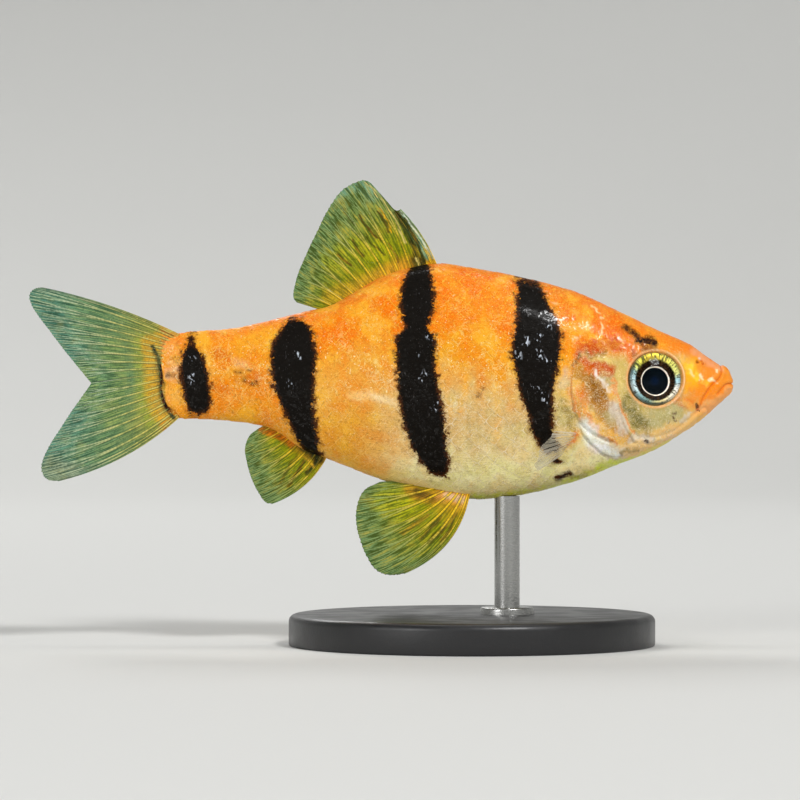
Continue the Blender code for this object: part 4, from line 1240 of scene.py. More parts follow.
def ray_strength(share, step, stops, lengths, width):
    """1 on the crest of a ray or of one of its branches, falling to 0 beside it."""
    gap = np.clip(np.searchsorted(stops, share, side="right") - 1, 0, len(stops) - 2)
    size = (stops[gap + 1] - stops[gap])[:, None]
    inside = ((share - stops[gap]) / (stops[gap + 1] - stops[gap]))[:, None]
    pitch = size * lengths[None, :]
    nearest = np.full((len(share), len(step)), 9.0)
    tip = step[None, :]
    first = 0.25 * soft(tip, 0.34, 1.0)
    second = 0.125 * soft(tip, 0.62, 1.04)
    for line, closed in ((0, gap == 0), (1, gap == len(stops) - 2)):
        away = np.abs(inside - line)
        calm = np.where(closed, 0.0, 1.0)[:, None]
        for sign in (-1, 1):
            nearest = np.minimum(nearest, np.abs(away - calm * (first + sign * second)))
    thin = width * (1 - 0.45 * step)[None, :]
    return np.exp(-(nearest * pitch / thin) ** 2)


def build_fin(name, shape, place, sizes, columns=20, rows=96, membrane=None, rise=None):
    """One fin as a closed sheet. Returns the piece and, for each vertex, its share, reach and ray."""
    membrane = membrane or sizes.membrane / MM
    rise = rise or sizes.ray_rise / MM
    stops = np.concatenate([[0.0], np.cumsum(shape["gaps"])])
    stops /= stops[-1]
    spans = [np.linspace(a, b, columns, endpoint=False) for a, b in zip(stops, stops[1:])]
    share = np.concatenate([*spans, [1.0]])
    step = np.linspace(0, 1, rows)
    root = smooth_path(np.array(shape["root"]) + np.array(shape["inward"]) * ROOT_SINK, 10)
    edge = smooth_path(shape["edge"], 10)
    start, end = along_path(root, share), along_path(edge, share)
    root_run, edge_run = (np.linalg.norm(np.diff(path, axis=0), axis=1).sum() for path in (root, edge))
    lengths = root_run + (edge_run - root_run) * step
    ray = ray_strength(share, step, stops, lengths, sizes.ray_width / MM)
    along = end - start
    ripple = 0.003 * np.abs(np.sin(share * 61.0)) * np.abs(np.sin(share * 23.0))
    fray = 1 - sizes.fray * (1 - ray[:, -4]) - ripple
    along = along * fray[:, None]
    across = np.stack([along[:, 1], -along[:, 0]], axis=-1)
    bend = (shape["bow"][0] + (shape["bow"][1] - shape["bow"][0]) * share) * 4
    spot = start[:, None] + along[:, None] * step[None, :, None]
    spot = spot + across[:, None] * (bend[:, None] * (step * (1 - step))[None, :])[..., None]
    centre, normal = place(spot[..., 0], spot[..., 1])
    wave = sizes.wave / MM * np.sin(share * 17.0)[:, None] * (step**1.5)[None, :]
    wave *= soft(share, 0.0, 0.08)[:, None] * soft(share, 1.0, 0.92)[:, None]
    centre = centre + normal * wave[..., None]
    taper = 1 - 0.72 * soft(step, 0.45, 1.0)
    half = membrane * taper[None, :] + rise * ray * (1 - 0.62 * step)[None, :]
    rim_front = soft(share, 0.0, 0.012)[:, None]
    half = half * (0.55 + 0.45 * rim_front * soft(share, 1.0, 0.988)[:, None])
    near, far = centre - normal * half[..., None], centre + normal * half[..., None]
    across_count, half_count = len(share), len(share) * rows
    points = np.concatenate([near.reshape(-1, 3), far.reshape(-1, 3)])
    index = np.arange(half_count).reshape(across_count, rows)
    a, b, c, d = index[:-1, :-1], index[1:, :-1], index[1:, 1:], index[:-1, 1:]
    near_faces = np.stack([a, b, c, d], axis=-1).reshape(-1, 4)
    far_faces = np.stack([a, d, c, b], axis=-1).reshape(-1, 4) + half_count
    rim = [
        np.stack([line[:-1], line[1:], line[1:] + half_count, line[:-1] + half_count], axis=-1)
        for line in (index[:, -1], index[::-1, 0], index[0, :], index[-1, ::-1])
    ]
    faces = np.concatenate([near_faces, far_faces, *rim])
    piece = new_piece(name, points, faces.tolist())
    weld(piece)
    values = {"share": np.repeat(share, rows), "reach": np.tile(step, across_count), "ray": ray.ravel()}
    return piece, {key: np.tile(value, 2) for key, value in values.items()}, points


DORSAL_MARKS = (
    ("teal", 0.55, 9, 330, 196, 345, 186, 362, 184, 372, 192),
    ("gold", 0.6, 9, 412, 268, 390, 272, 362, 284, 330, 298),
    ("leaf", 0.5, 12, 330, 262, 352, 250, 380, 250), ("umber", 0.95, 1.1, 377, 212, 384, 222, 388, 232),
    ("umber", 0.95, 1.2, 360, 216, 366, 225, 374, 234, 381, 241),
    ("umber", 0.9, 1, 342, 208, 348, 216, 355, 225), ("umber", 0.9, 1.7, 352, 241, 357, 250, 362, 257),
    ("umber", 0.9, 1.6, 338, 255, 343, 260, 350, 265), ("umber", 0.85, 1, 366, 236, 374, 245, 384, 256),
    ("umber", 0.8, 1.4, 388, 244, 394, 254, 398, 262), ("amber", 0.8, 1.1, 380, 209, 387, 222, 391, 232),
    ("teal", 0.85, 4.5, 406, 217, 412, 230, 420, 244, 428, 256),
    ("soot", 0.97, 3.2, 397, 212, 402, 222, 408, 236, 414, 250, 419, 264),
    ("soot", 0.95, 2.2, 405, 220, 412, 234, 419, 248, 424, 262), ("soot", 0.97, 6.5, 416, 262, 419, 272),
    ("umber", 0.8, 1.4, 409, 226, 416, 240), ("gold", 0.9, 2.6, 427, 249, 432, 257, 435, 264),
    ("spine", 0.9, 1.2, 400, 211, 410, 223, 422, 240, 434, 259),
    ("straw", 0.8, 1.1, 366, 183, 384, 203, 396, 221, 405, 244), ("straw", 0.85, 1.5, 416, 259, 418, 264),
)
ANAL_MARKS = (
    ("soot", 0.97, 5.5, 296, 440, 308, 449, 318, 459), ("soot", 0.95, 3, 318, 459, 312, 468, 307, 473),
    ("umber", 0.9, 1.8, 303, 462, 296, 474, 288, 486), ("umber", 0.6, 1.8, 296, 456, 286, 470, 280, 484),
    # The thin gold stroke from 303,456 to 315,468 is a painted glint on the fin's black root.
    ("gold", 0.9, 1.1, 303, 456, 310, 463, 315, 468), ("deep", 0.75, 4, 262, 430, 276, 434, 290, 444),
)
PELVIC_MARKS = (
    ("leaf", 0.6, 14, 384, 500, 404, 508), ("bronze", 0.85, 7, 410, 490, 424, 495, 434, 497),
    ("umber", 0.85, 3.4, 416, 491, 430, 496), ("umber", 0.85, 2.6, 448, 520, 440, 530, 430, 541),
    ("umber", 0.8, 2.2, 440, 517, 430, 528, 420, 537), ("umber", 0.8, 2, 455, 514, 448, 530, 440, 541),
    ("bronze", 0.6, 2.2, 428, 514, 414, 524, 402, 532), ("peach", 0.45, 6, 440, 495, 454, 497, 464, 503),
    ("pearl", 0.45, 4, 446, 495, 462, 499),
)
CAUDAL_MARKS = (
    ("fern", 0.6, 14, 84, 372, 92, 384, 86, 398), ("fern", 0.45, 12, 112, 350, 116, 384, 112, 418),
    ("pine", 0.55, 11, 36, 292, 46, 304, 58, 320), ("ash", 0.65, 13, 52, 468, 70, 474),
    ("gold", 0.85, 4.5, 158, 336, 153, 350, 153, 366, 155, 384, 156, 400, 162, 416),
    ("lime", 0.35, 8, 140, 342, 142, 362, 143, 382, 144, 400, 150, 420),
    ("amber", 0.65, 8, 149, 343, 151, 360, 152, 384, 153, 400, 161, 415),
)


def spread_fin(node, place, sizes, detail, palette, fade, marks, material, slot):
    """Builds, paints and finishes the fin that stands for one node. Its palette runs from root to margin."""
    shape = FINS[node.removesuffix("_right").removesuffix("_left")]
    piece, values, points = build_fin("barb_" + node, shape, place, sizes, *detail)
    (root, middle, margin), (start, half, end), reach = palette, fade, values["reach"]
    tint = over(root, (middle, soft(reach, start, half)), (margin, soft(reach, half, end)))
    x, z = points[:, 0], points[:, 2]
    if slot == "tail_fin":
        tint = over(tint, (sizes.root, soft(x, -15.9, -15.3)))
    dark = [stroke_mask(x, z, spots, width * 1.1) for name, _, width, *spots in marks if name == "soot"]
    store(piece.data, tint=paint(x, z, tint, marks, 0.6), dark=np.max([0 * x, *dark], axis=0), **values)
    finish_piece(piece, material, (node,))


def rays_group():
    """Pale jointed rays and faint streaks on a fin's membrane, shared by all the fins."""
    group, wires, given, out = start_group(
        "Barb fin rays",
        {
            "Tint": (0.3, 0.3, 0.05), "Ray colour": (0.6, 0.5, 0.1), "Tip colour": (0.4, 0.5, 0.3),
            "Shadow": (0.1, 0.1, 0.02), "Ray": 0.0, "Share": 0.5, "Reach": 0.5, "Dark": 0.0, "Streaks": 60.0,
        },
        ("Height",),
    )
    if wires is None:
        return group
    times, stretch, noise = wires.times, wires.stretch, wires.noise
    ray, reach, shadow = given["Ray"], given["Reach"], given["Shadow"]
    line, tip = given["Ray colour"], given["Tip colour"]
    place = wires.joined(times(given["Share"], given["Streaks"]), times(reach, 5.0))
    streak = wires.noise_at(place, 1.0, 3.0)
    spots = noise(0.15, 2.0)
    joints = stretch(wires.maths("SINE", times(reach, 230.0)), -0.6, 0.6, 0.70, 1.0)
    broken = stretch(noise(0.45, 2.0), 0.38, 0.54, 0.40, 1.0)
    strength = times(times(stretch(ray, 0.18, 0.60), joints), broken)
    strength = times(strength, stretch(reach, 0.15, 1.0, 1.0, 0.60))
    colour = wires.layers(
        given["Tint"],
        (times(stretch(streak, 0.54, 0.42), stretch(reach, 0.1, 0.9, 0.45, 0.85)), shadow),
        (stretch(streak, 0.53, 0.64, 0.0, 0.55), wires.mix(0.5, line, given["Tint"])),
        (stretch(spots, 0.52, 0.62, 0.0, 0.32), shadow),
        (stretch(noise(1.1, 2.0), 0.50, 0.72, 0.0, 0.12), line),
        (times(stretch(ray, 0.02, 0.22), stretch(ray, 0.55, 0.25, 0.0, 0.80)), shadow),
        (
            times(strength, stretch(given["Dark"], 0.2, 0.8, 1.0, 0.12)),
            wires.mix(stretch(reach, 0.25, 0.85), line, tip),
        ),
        (stretch(noise(0.10, 1.0), 0.66, 0.74, 0.0, 0.30), tip),
    )
    wires.put(out, Colour=colour, Height=wires.add(times(streak, 0.7), times(spots, 0.5)))
    return group


def fin_material(name, ray_colour, tip_colour, shadow, opacity, streaks=60.0, ray_opacity=1.0):
    material, wires = start_material(
        name, Coat_Weight=0.06, Coat_Roughness=0.15, IOR=1.42, Specular_IOR_Level=0.10,
    )
    ray, reach = wires.attribute("ray"), wires.attribute("reach")
    rays = use_group(
        wires, rays_group(), Tint=wires.attribute("tint", "Color"), Ray_colour=tuple(ray_colour),
        Tip_colour=tuple(tip_colour), Shadow=tuple(shadow), Ray=ray, Share=wires.attribute("share"),
        Reach=reach, Dark=wires.attribute("dark"), Streaks=streaks,
    )
    solid = wires.maths("MAXIMUM", ray, wires.stretch(reach, 0.0, 0.25, 1.0, 0.0))
    wires.shade(
        Base_Color=rays["Colour"], Roughness=wires.stretch(rays["Height"], 0.3, 0.9, 0.28, 0.5),
        Normal=wires.bump(rays["Height"], 0.05, 0.5),
        Alpha=wires.stretch(solid, 0.0, 0.8, opacity, ray_opacity),
    )
    return material


# Panel settings.

def colour_setting(name, description, code):
    return FloatVectorProperty(
        name=name, description=description, subtype="COLOR", size=3, min=0, max=1, default=srgb(code)
    )


def length_setting(name, description, millimetres):
    return FloatProperty(
        name=name, description=description, unit="LENGTH", subtype="DISTANCE", precision=5, min=0,
        default=millimetres * MM,
    )


def power_setting(name, description, watts):
    return FloatProperty(name=name, description=description, unit="POWER", default=watts, min=0)


class BarbBodySettings(bpy.types.PropertyGroup):
    back: colour_setting("Back", "Colour of the back's ridge", "F0842A")
    upper: colour_setting("Upper flank", "Orange of the upper flank", "F28508")
    flank: colour_setting("Flank", "Yellow-orange of the middle flank", "F0A020")
    lower: colour_setting("Lower flank", "Beige of the lower flank", "DCBC78")
    belly: colour_setting("Belly", "Cream of the belly", "FFF4B4")
    belly_edge: colour_setting("Belly keel", "Cream of the keel", "F0E49C")
    rear_flank: colour_setting("Rear flank", "Pale orange behind the third band", "EEA840")
    rear_low: colour_setting("Rear lower flank", "Duller orange below it", "E69C2A")
    rear_belly: colour_setting("Rear belly", "Colour of the belly before the anal fin", "F8BA48")
    stem: colour_setting("Tail stem", "Orange of the tail stem", "F09610")
    stem_flank: colour_setting("Tail stem middle", "Lighter orange of the tail stem's middle", "F29C20")
    snout: colour_setting("Snout", "Orange of the snout", "F4902E")
    cheek: colour_setting("Cheek", "Olive gold below the eye", "D0B464")
    chin: colour_setting("Chin", "Pale chin and throat", "F8CC84")
    opercle: colour_setting("Gill cover", "Gold of the gill cover", "C88A28")
    # Red-orange painted as shade along the mouth slit and the snout's fold.
    groove_shade: colour_setting("Blush", "Red-orange over the gill cover", "D2600F")
    fold: colour_setting("Folds", "Pink-orange along the head's folds", "F09A58")
    # Dark olive painted as shade into the nostril pits and round the eye's edge.
    shade: colour_setting("Shade", "Dark olive of grooves and the mouth", "4A3A1C")
    lips: colour_setting("Lips", "Orange of the lips", "F8962A")
    # The pale line round the eye is a painted highlight on the eyelid's edge.
    rim: colour_setting("Eyelid rim", "Pale line round the eye", "FBD6A4")
    ink: colour_setting("Bands", "Black of the bands", "0F0B07")


class BarbScaleSettings(bpy.types.PropertyGroup):
    pitch: length_setting("Pitch", "From one scale to the next along the fish", 1.25)
    row_pitch: length_setting("Row pitch", "From one row of scales to the next", 0.60)
    length: length_setting("Length", "Length of a whole scale, with its covered root", 1.70)
    width: length_setting("Width", "Width of a scale", 1.26)
    thickness: length_setting("Thickness", "Thickness of a scale", 0.015)
    depth: length_setting("Skin depth", "How deep the skin lies under the scales' surface", 0.070)
    rise: length_setting("Rise", "How far a scale's free edge stands over its root", 0.042)
    seed: IntProperty(name="Seed", description="Seed of the scales' small differences", default=7, min=0)


class BarbFinSettings(bpy.types.PropertyGroup):
    membrane: length_setting("Membrane", "Half the thickness of a fin's membrane at its root", 0.14)
    ray_rise: length_setting("Ray rise", "How far a ray stands out of the membrane", 0.075)
    ray_width: length_setting("Ray width", "Half the width of a ray at its root", 0.062)
    wave: length_setting("Wave", "How far a fin's free edge sways to the sides", 0.10)
    fray: FloatProperty(
        name="Fray", description="How far the margin draws in between rays", subtype="FACTOR", min=0, max=0.1,
        default=0.006,
    )
    root: colour_setting("Root", "Orange flesh at the roots", "F0961E")
    leaf: colour_setting("Leaf", "Olive green of the back, belly and anal fins", "8A9004")
    leaf_margin: colour_setting("Leaf margin", "Blue-green of their margins", "668E62")
    leaf_shadow: colour_setting("Leaf shadow", "Dark olive between their rays", "3A4A0C")
    leaf_ray: colour_setting("Leaf ray", "Yellow of their rays", "F0C428")
    leaf_tip: colour_setting("Leaf ray tips", "Pale green of the rays' ends", "8CA466")
    tail: colour_setting("Tail", "Grey-green of the tail fin", "6C9060")
    tail_root: colour_setting("Tail root", "Yellow-green beside the tail fin's root", "98983A")
    tail_tip: colour_setting("Tail tips", "Blue-grey of the tail fin's tips", "609A88")
    tail_ray: colour_setting("Tail ray", "Yellow of the tail fin's rays at their root", "CFC468")
    tail_gleam: colour_setting("Tail ray ends", "Pale green of those rays' ends", "B9C8A4")
    tail_shadow: colour_setting("Tail shadow", "Dark green between them", "2A4A34")
    clear: colour_setting("Clear fin", "Membrane of the pectoral fins", "E0D6BC")
    clear_ray: colour_setting("Clear ray", "Whitish rays of the pectoral fins", "F2EDE0")


class BarbEyeSettings(bpy.types.PropertyGroup):
    pupil_radius: length_setting("Pupil", "Radius of the pupil", 0.94)
    dark_radius: length_setting("Dark ring", "Outer radius of the iris's dark ring", 1.44)
    bulge: length_setting("Bulge", "How far the clear eye stands out of the cheek", 0.50)
    pupil: colour_setting("Pupil", "Black with a blue sheen", "02070C")
    pupil_rim: colour_setting("Pupil rim", "Thin cream ring round the pupil", "F4E8D8")
    dark: colour_setting("Iris", "Dark brown of the iris", "0E0804")


class BarbStandSettings(bpy.types.PropertyGroup):
    centre: length_setting("Centre", "Place of the base's middle along the fish", 6.5)
    radius: length_setting("Radius", "Radius of the round base", 13.0)
    height: length_setting("Height", "Height of the base", 2.2)
    bevel: length_setting("Bevel", "Width of the base's rounded edge", 0.5)
    rod_place: length_setting("Rod place", "Place of the rod along the fish", 9.0)
    rod_radius: length_setting("Rod radius", "Radius of the rod", 0.9)
    boss_radius: length_setting("Collar radius", "Radius of the collar round the rod's foot", 1.9)
    boss_height: length_setting("Collar height", "Height of that collar", 0.5)
    paint: colour_setting("Paint", "Satin black paint of the base", "1A1A1C")
    steel: colour_setting("Steel", "Brushed steel of the rod", "B8B8B6")


class BarbStageSettings(bpy.types.PropertyGroup):
    floor: colour_setting("Floor", "Pale grey of floor and backdrop", "D9D9D6")
    reach: FloatProperty(name="Reach", description="Radius of the floor", unit="LENGTH", default=0.9, min=0.2)
    lens: FloatProperty(
        name="Lens", description="Focal length of the camera in millimetres", unit="CAMERA", default=180.0,
        min=20,
    )
    picture_width: length_setting("Picture width", "Width of what the picture takes in at the fish", 56.8)
    key: power_setting("Key light", "Power of the main soft light", 3.0)
    fill: power_setting("Fill light", "Power of the front soft light", 1.1)
    backdrop: power_setting("Backdrop light", "Power of the light on the backdrop", 1.4)


# The pieces.

class BARB_OT_skin(bpy.types.Operator):
    """Wrap the skin round the fish's body, with the head's lips, gill covers, folds and eye sockets"""

    bl_idname = "barb.skin"
    bl_label = "Skin"

    def execute(self, context):
        colours = context.scene.barb_body
        skin = build_skin(colours, context.scene.barb_scales.depth / MM)
        finish_piece(
            skin, skin_material(colours),
            ("head", "lower_jaw", "gill_cover_right", "gill_cover_left", "trunk", "tail_stem"),
        )
        return {"FINISHED"}


class BARB_OT_scales(bpy.types.Operator):
    """Lay overlapping scales over both flanks, in rows along the fish"""

    bl_idname = "barb.scales"
    bl_label = "Scales"

    def execute(self, context):
        sizes, colours = context.scene.barb_scales, context.scene.barb_body
        material = scale_material(colours)
        unwrap = Unwrap()
        rng = np.random.default_rng(sizes.seed)
        for word, side in SIDES:
            piece = build_scales("barb_scales_" + word, side, sizes, colours, unwrap, rng)
            finish_piece(piece, material)
        return {"FINISHED"}


def eye_axes(side):
    """An eye's centre and its outward direction."""
    outward = np.array(Vector((EYE_FORWARD, side, EYE_UPWARD)).normalized())
    reach = float(flank_reach(EYE_X, EYE_Z)) - EYE_SINK
    shrink = (CAMERA_DISTANCE - reach) / CAMERA_DISTANCE
    x, z = CAMERA_X + (EYE_X - CAMERA_X) * shrink, CAMERA_Z + (EYE_Z - CAMERA_Z) * shrink
    return np.array((x, side * reach, z)), outward


def eye_shape(name, profile, side, steps=96):
    """A round piece about an eye's axis. The profile gives radius and height outward, from front to back."""
    centre, outward = eye_axes(side)
    up = np.array((0.0, 0.0, 1.0)) - outward * outward[2]
    up /= np.linalg.norm(up)
    piece = turned(
        name, metres([centre + outward * height + up * radius for radius, height in profile]), metres(centre),
        outward, steps,
    )
    mesh = piece.data
    away = vertex_places(mesh) - centre
    flat = away - (away @ outward)[:, None] * outward
    radius = np.linalg.norm(flat, axis=1)
    turn = np.degrees(np.arctan2(flat @ np.cross(up, outward) * -side, flat @ up)) % 360
    away -= up * (EYE_DROP * soft(radius, 1.75, 1.15))[:, None]
    mesh.vertices.foreach_set("co", metres(away + centre).ravel())
    return piece, radius, turn


def iris_material(sizes):
    material, wires = start_material("barb_iris", Coat_Weight=0.0, Specular_IOR_Level=0.02)
    times, stretch, add = wires.times, wires.stretch, wires.add
    radius, turn_up, turn_ahead = (wires.attribute(name) for name in ("radius", "turn_up", "turn_ahead"))
    place = wires.joined(times(turn_up, 9.0), times(turn_ahead, 9.0), times(radius, 1.6))
    spokes = wires.noise_at(place, 1.5, 4.0)
    pupil, dark = sizes.pupil_radius / MM, sizes.dark_radius / MM
    ragged = add(radius, times(wires.less(spokes, 0.5), 0.42))
    uneven = add(radius, times(wires.less(spokes, 0.5), 0.14))
    dirt = add(spokes, times(turn_up, 0.05))
    metal = wires.layers(
        wires.attribute("tint", "Color"),
        (stretch(dirt, 0.50, 0.62, 0.05, 0.92), (0.05, 0.045, 0.015)),
        (times(stretch(ragged, 1.58, 1.70), wires.attribute("rim_shade")), (0.012, 0.028, 0.028)),
    )
    brown = wires.mix(stretch(spokes, 0.48, 0.66, 0.0, 0.6), tuple(sizes.dark), (0.07, 0.028, 0.005))
    iris = wires.mix(stretch(ragged, dark - 0.06, dark + 0.07), brown, metal)
    iris = wires.mix(times(stretch(radius, 1.79, 1.85), 0.45), iris, (0.30, 0.22, 0.10))
    ring = wires.mix(stretch(uneven, pupil + 0.070, pupil + 0.105), tuple(sizes.pupil_rim), iris)
    # Painted reflection: a faint blue sheen in the pupil's middle.
    pupil_sheen = wires.mix(stretch(radius, 0.50, 0.0), tuple(sizes.pupil), (0.001, 0.006, 0.020))
    shine = times(stretch(ragged, dark, dark + 0.10), stretch(spokes, 0.62, 0.50))
    wires.shade(
        Base_Color=wires.mix(stretch(radius, pupil - 0.01, pupil + 0.015), pupil_sheen, ring),
        Metallic=times(shine, 0.30), Roughness=stretch(spokes, 0.35, 0.65, 0.24, 0.42),
        Normal=wires.bump(spokes, 0.05, 0.5),
    )
    return material


def cornea_material():
    """Clear and wet. Light passes through it to the iris instead of being held back as a shadow."""
    material, wires = start_material(
        "barb_cornea", Base_Color=(1.0, 1.0, 1.0), Roughness=0.02, IOR=1.13, Transmission_Weight=1.0,
    )
    wires.shade(Alpha=wires.less(1.0, wires.node("ShaderNodeLightPath").outputs["Is Shadow Ray"]))
    return material


class BARB_OT_eyes(bpy.types.Operator):
    """Make each eye: a sunken pupil, a metallic iris and a clear dome over them"""

    bl_idname = "barb.eyes"
    bl_label = "Eyes"

    def execute(self, context):
        sizes = context.scene.barb_eyes
        pupil, dark, bulge = sizes.pupil_radius / MM, sizes.dark_radius / MM, sizes.bulge / MM
        iris_profile = (
            (0.0, -0.22), (pupil * 0.5, -0.22), (pupil * 0.9, -0.215), (pupil, -0.20), (pupil + 0.02, -0.13),
            (pupil + 0.05, -0.10), (pupil + 0.10, -0.085), (pupil + 0.13, -0.095), (pupil + 0.25, -0.07),
            (dark - 0.08, -0.03), (dark, 0.0), (dark + 0.05, 0.015), (dark + 0.18, 0.01), (1.79, -0.03),
            (1.87, -0.10), (1.89, -0.20), (1.74, -0.50), (1.33, -0.80), (0.7, -0.98), (0.0, -1.03),
        )
        arc = np.linspace(0, math.pi / 2, 20)
        dome = [(DOME_RADIUS * math.sin(a), -DOME_SINK + (bulge + DOME_SINK) * math.cos(a)) for a in arc]
        dome[0] = (0.0, dome[0][1])
        inner = [(radius * 0.985, height - 0.03) for radius, height in iris_profile[:15]][::-1]
        inner[-1] = (0.0, inner[-1][1])
        iris, cornea = iris_material(sizes), cornea_material()
        for word, side in SIDES:
            ball, radius, turn = eye_shape("barb_iris_" + word, iris_profile, side)
            stops, codes = zip(*RING_STOPS)
            shades = np.array([srgb(code) for code in codes])
            store(
                ball.data, tint=np.stack([np.interp(turn, stops, shades[:, k]) for k in range(3)], axis=-1),
                radius=radius, rim_shade=np.interp(turn, *zip(*RIM_SHADES)), turn_up=np.cos(np.radians(turn)),
                turn_ahead=np.sin(np.radians(turn)),
            )
            finish_piece(ball, iris, ("eye_" + word,))
            dome_piece, _, _ = eye_shape("barb_cornea_" + word, [*dome, *inner], side)
            finish_piece(dome_piece, cornea)
        return {"FINISHED"}


class BARB_OT_median_fins(bpy.types.Operator):
    """Spread the back, anal and tail fins, with branching rays raised in their membranes"""

    bl_idname = "barb.median_fins"
    bl_label = "Back, anal and tail fins"

    def execute(self, context):
        fins = context.scene.barb_fins
        leaf = fin_material("barb_leaf_fin", fins.leaf_ray, fins.leaf_tip, fins.leaf_shadow, 0.97, 75.0)
        tail = fin_material("barb_tail_fin", fins.tail_ray, fins.tail_gleam, fins.tail_shadow, 0.97, 95.0)
        palette = (fins.root, fins.leaf, fins.leaf_margin)
        for name, detail, fade, marks in (
            ("dorsal_fin", (22, 100), (0.10, 0.30, 1.20), DORSAL_MARKS),
            ("anal_fin", (20, 88), (0.04, 0.35, 1.10), ANAL_MARKS),
        ):
            spread_fin(name, midline_place, fins, detail, palette, fade, marks, leaf, "fin")
        palette, marks = (fins.tail_root, fins.tail, fins.tail_tip), CAUDAL_MARKS + TAIL_MARKS
        for name in ("caudal_fin_upper", "caudal_fin_lower"):
            spread_fin(
                name, midline_place, fins, (16, 112), palette, (0.08, 0.50, 1.05), marks, tail, "tail_fin"
            )
        return {"FINISHED"}


class BARB_OT_paired_fins(bpy.types.Operator):
    """Spread the pelvic fins below the belly and the clear pectoral fins behind the gill covers"""

    bl_idname = "barb.paired_fins"
    bl_label = "Pelvic and pectoral fins"

    def execute(self, context):
        fins = context.scene.barb_fins
        leaf = fin_material("barb_pelvic_fin", fins.leaf_ray, fins.leaf_tip, fins.leaf_shadow, 0.97, 60.0)
        clear = fin_material("barb_clear_fin", fins.clear_ray, fins.clear_ray, fins.clear, 0.06, 60.0, 0.50)
        for word, side in SIDES:
            spread_fin(
                "pelvic_fin_" + word, pelvic_place(side), fins, (24, 90),
                (fins.root, fins.leaf, fins.leaf_margin), (0.0, 0.40, 1.15), PELVIC_MARKS, leaf, "fin",
            )
            spread_fin(
                "pectoral_fin_" + word, pectoral_place(side), fins, (10, 72, 0.05, 0.05),
                (fins.root, fins.clear, fins.clear), (0.06, 0.16, 0.9), (), clear, "clear_fin",
            )
        return {"FINISHED"}


def grain_group():
    """Fine grain that varies a finish's colour and height, shared by the stand's paint and steel."""
    group, wires, given, out = start_group(
        "Stand grain", {"Colour": (0.5, 0.5, 0.5), "Grain": 0.5, "Depth": 0.3}, ("Height",)
    )
    if wires is None:
        return group
    amount = wires.times(given["Grain"], given["Depth"])
    shade = wires.mix(amount, given["Colour"], (0.35, 0.35, 0.35), "MULTIPLY")
    wires.put(out, Colour=shade, Height=given["Grain"])
    return group


def paint_material(colour):
    material, wires = start_material("stand_paint", Coat_Weight=0.15, Coat_Roughness=0.3)
    grained = use_group(wires, grain_group(), Colour=tuple(colour), Grain=wires.noise(0.18, 4.0), Depth=0.35)
    wires.shade(
        Base_Color=grained["Colour"], Roughness=wires.stretch(wires.noise(2.5, 3.0), 0.3, 0.7, 0.34, 0.50),
        Normal=wires.bump(grained["Height"], 0.02, 0.5),
    )
    return material


def steel_material(colour):
    material, wires = start_material("stand_steel", Metallic=1.0)
    brushed = wires.noise(0.35, 5.0, stretch=(1.0, 1.0, 14.0))
    grained = use_group(wires, grain_group(), Colour=tuple(colour), Grain=brushed, Depth=0.45)
    wires.shade(
        Base_Color=grained["Colour"], Roughness=wires.stretch(brushed, 0.3, 0.7, 0.20, 0.42),
        Normal=wires.bump(grained["Height"], 0.01, 0.4),
    )
    return material


def disc(name, x, radius, foot, head, sides):
    """A round upright bar between two heights, its place kept in its mesh."""
    deselect_all()
    bpy.ops.mesh.primitive_cylinder_add(
        vertices=sides, radius=radius, depth=head - foot, location=(x, 0, (head + foot) / 2)
    )
    piece = bpy.context.active_object
    piece.name = piece.data.name = name
    bpy.ops.object.transform_apply(location=True, rotation=True, scale=True)
    return piece


def round_rim(piece, height, width, segments):
    """Rounds the rim that lies at one height."""
    mesh = piece.data
    for group in (mesh.vertices, mesh.edges, mesh.polygons):
        group.foreach_set("select", [False] * len(group))
    for edge in mesh.edges:
        if all(abs(mesh.vertices[i].co.z - height) < 1e-6 for i in edge.vertices):
            edge.select = True
            for i in edge.vertices:
                mesh.vertices[i].select = True
    bpy.ops.object.mode_set(mode="EDIT")
    bpy.ops.mesh.select_mode(type="EDGE")
    bpy.ops.mesh.bevel(offset=width, segments=segments, profile=0.5, affect="EDGES")
    bpy.ops.object.mode_set(mode="OBJECT")


class BARB_OT_stand(bpy.types.Operator):
    """Turn the round base with its collar, and the rod that holds the fish under its belly"""

    bl_idname = "barb.stand"
    bl_label = "Stand"

    def execute(self, context):
        sizes = context.scene.barb_stand
        base = disc("barb_stand_base", sizes.centre, sizes.radius, 0.0, sizes.height, 128)
        round_rim(base, sizes.height, sizes.bevel, 6)
        round_rim(base, 0.0, sizes.bevel * 0.3, 3)
        top = sizes.height + sizes.boss_height
        foot = sizes.height - 0.4 * MM
        collar = disc("barb_stand_collar", sizes.rod_place, sizes.boss_radius, foot, top, 64)
        round_rim(collar, top, 0.15 * MM, 4)
        belly = AXIS_HEIGHT * MM + float(body_measure(sizes.rod_place / MM, 2)) * MM
        rod = disc("barb_stand_rod", sizes.rod_place, sizes.rod_radius, sizes.height, belly + 0.1 * MM, 64)
        for piece in (base, collar, rod):
            smooth_by_angle(piece)
        steel = steel_material(sizes.steel)
        finish_piece(base, paint_material(sizes.paint), ("stand_base",))
        finish_piece(collar, steel)
        finish_piece(rod, steel, ("stand_rod",))
        return {"FINISHED"}


def soft_light(name, spot, aim, width, height, power):
    lamp = bpy.data.lights.new(name, "AREA")
    lamp.shape = "RECTANGLE"
    lamp.size, lamp.size_y = width, height
    lamp.energy = power
    made = bpy.data.objects.new(name, lamp)
    made.location = spot
    made.rotation_euler = (Vector(aim) - Vector(spot)).to_track_quat("-Z", "Y").to_euler()
    bpy.context.scene.collection.objects.link(made)


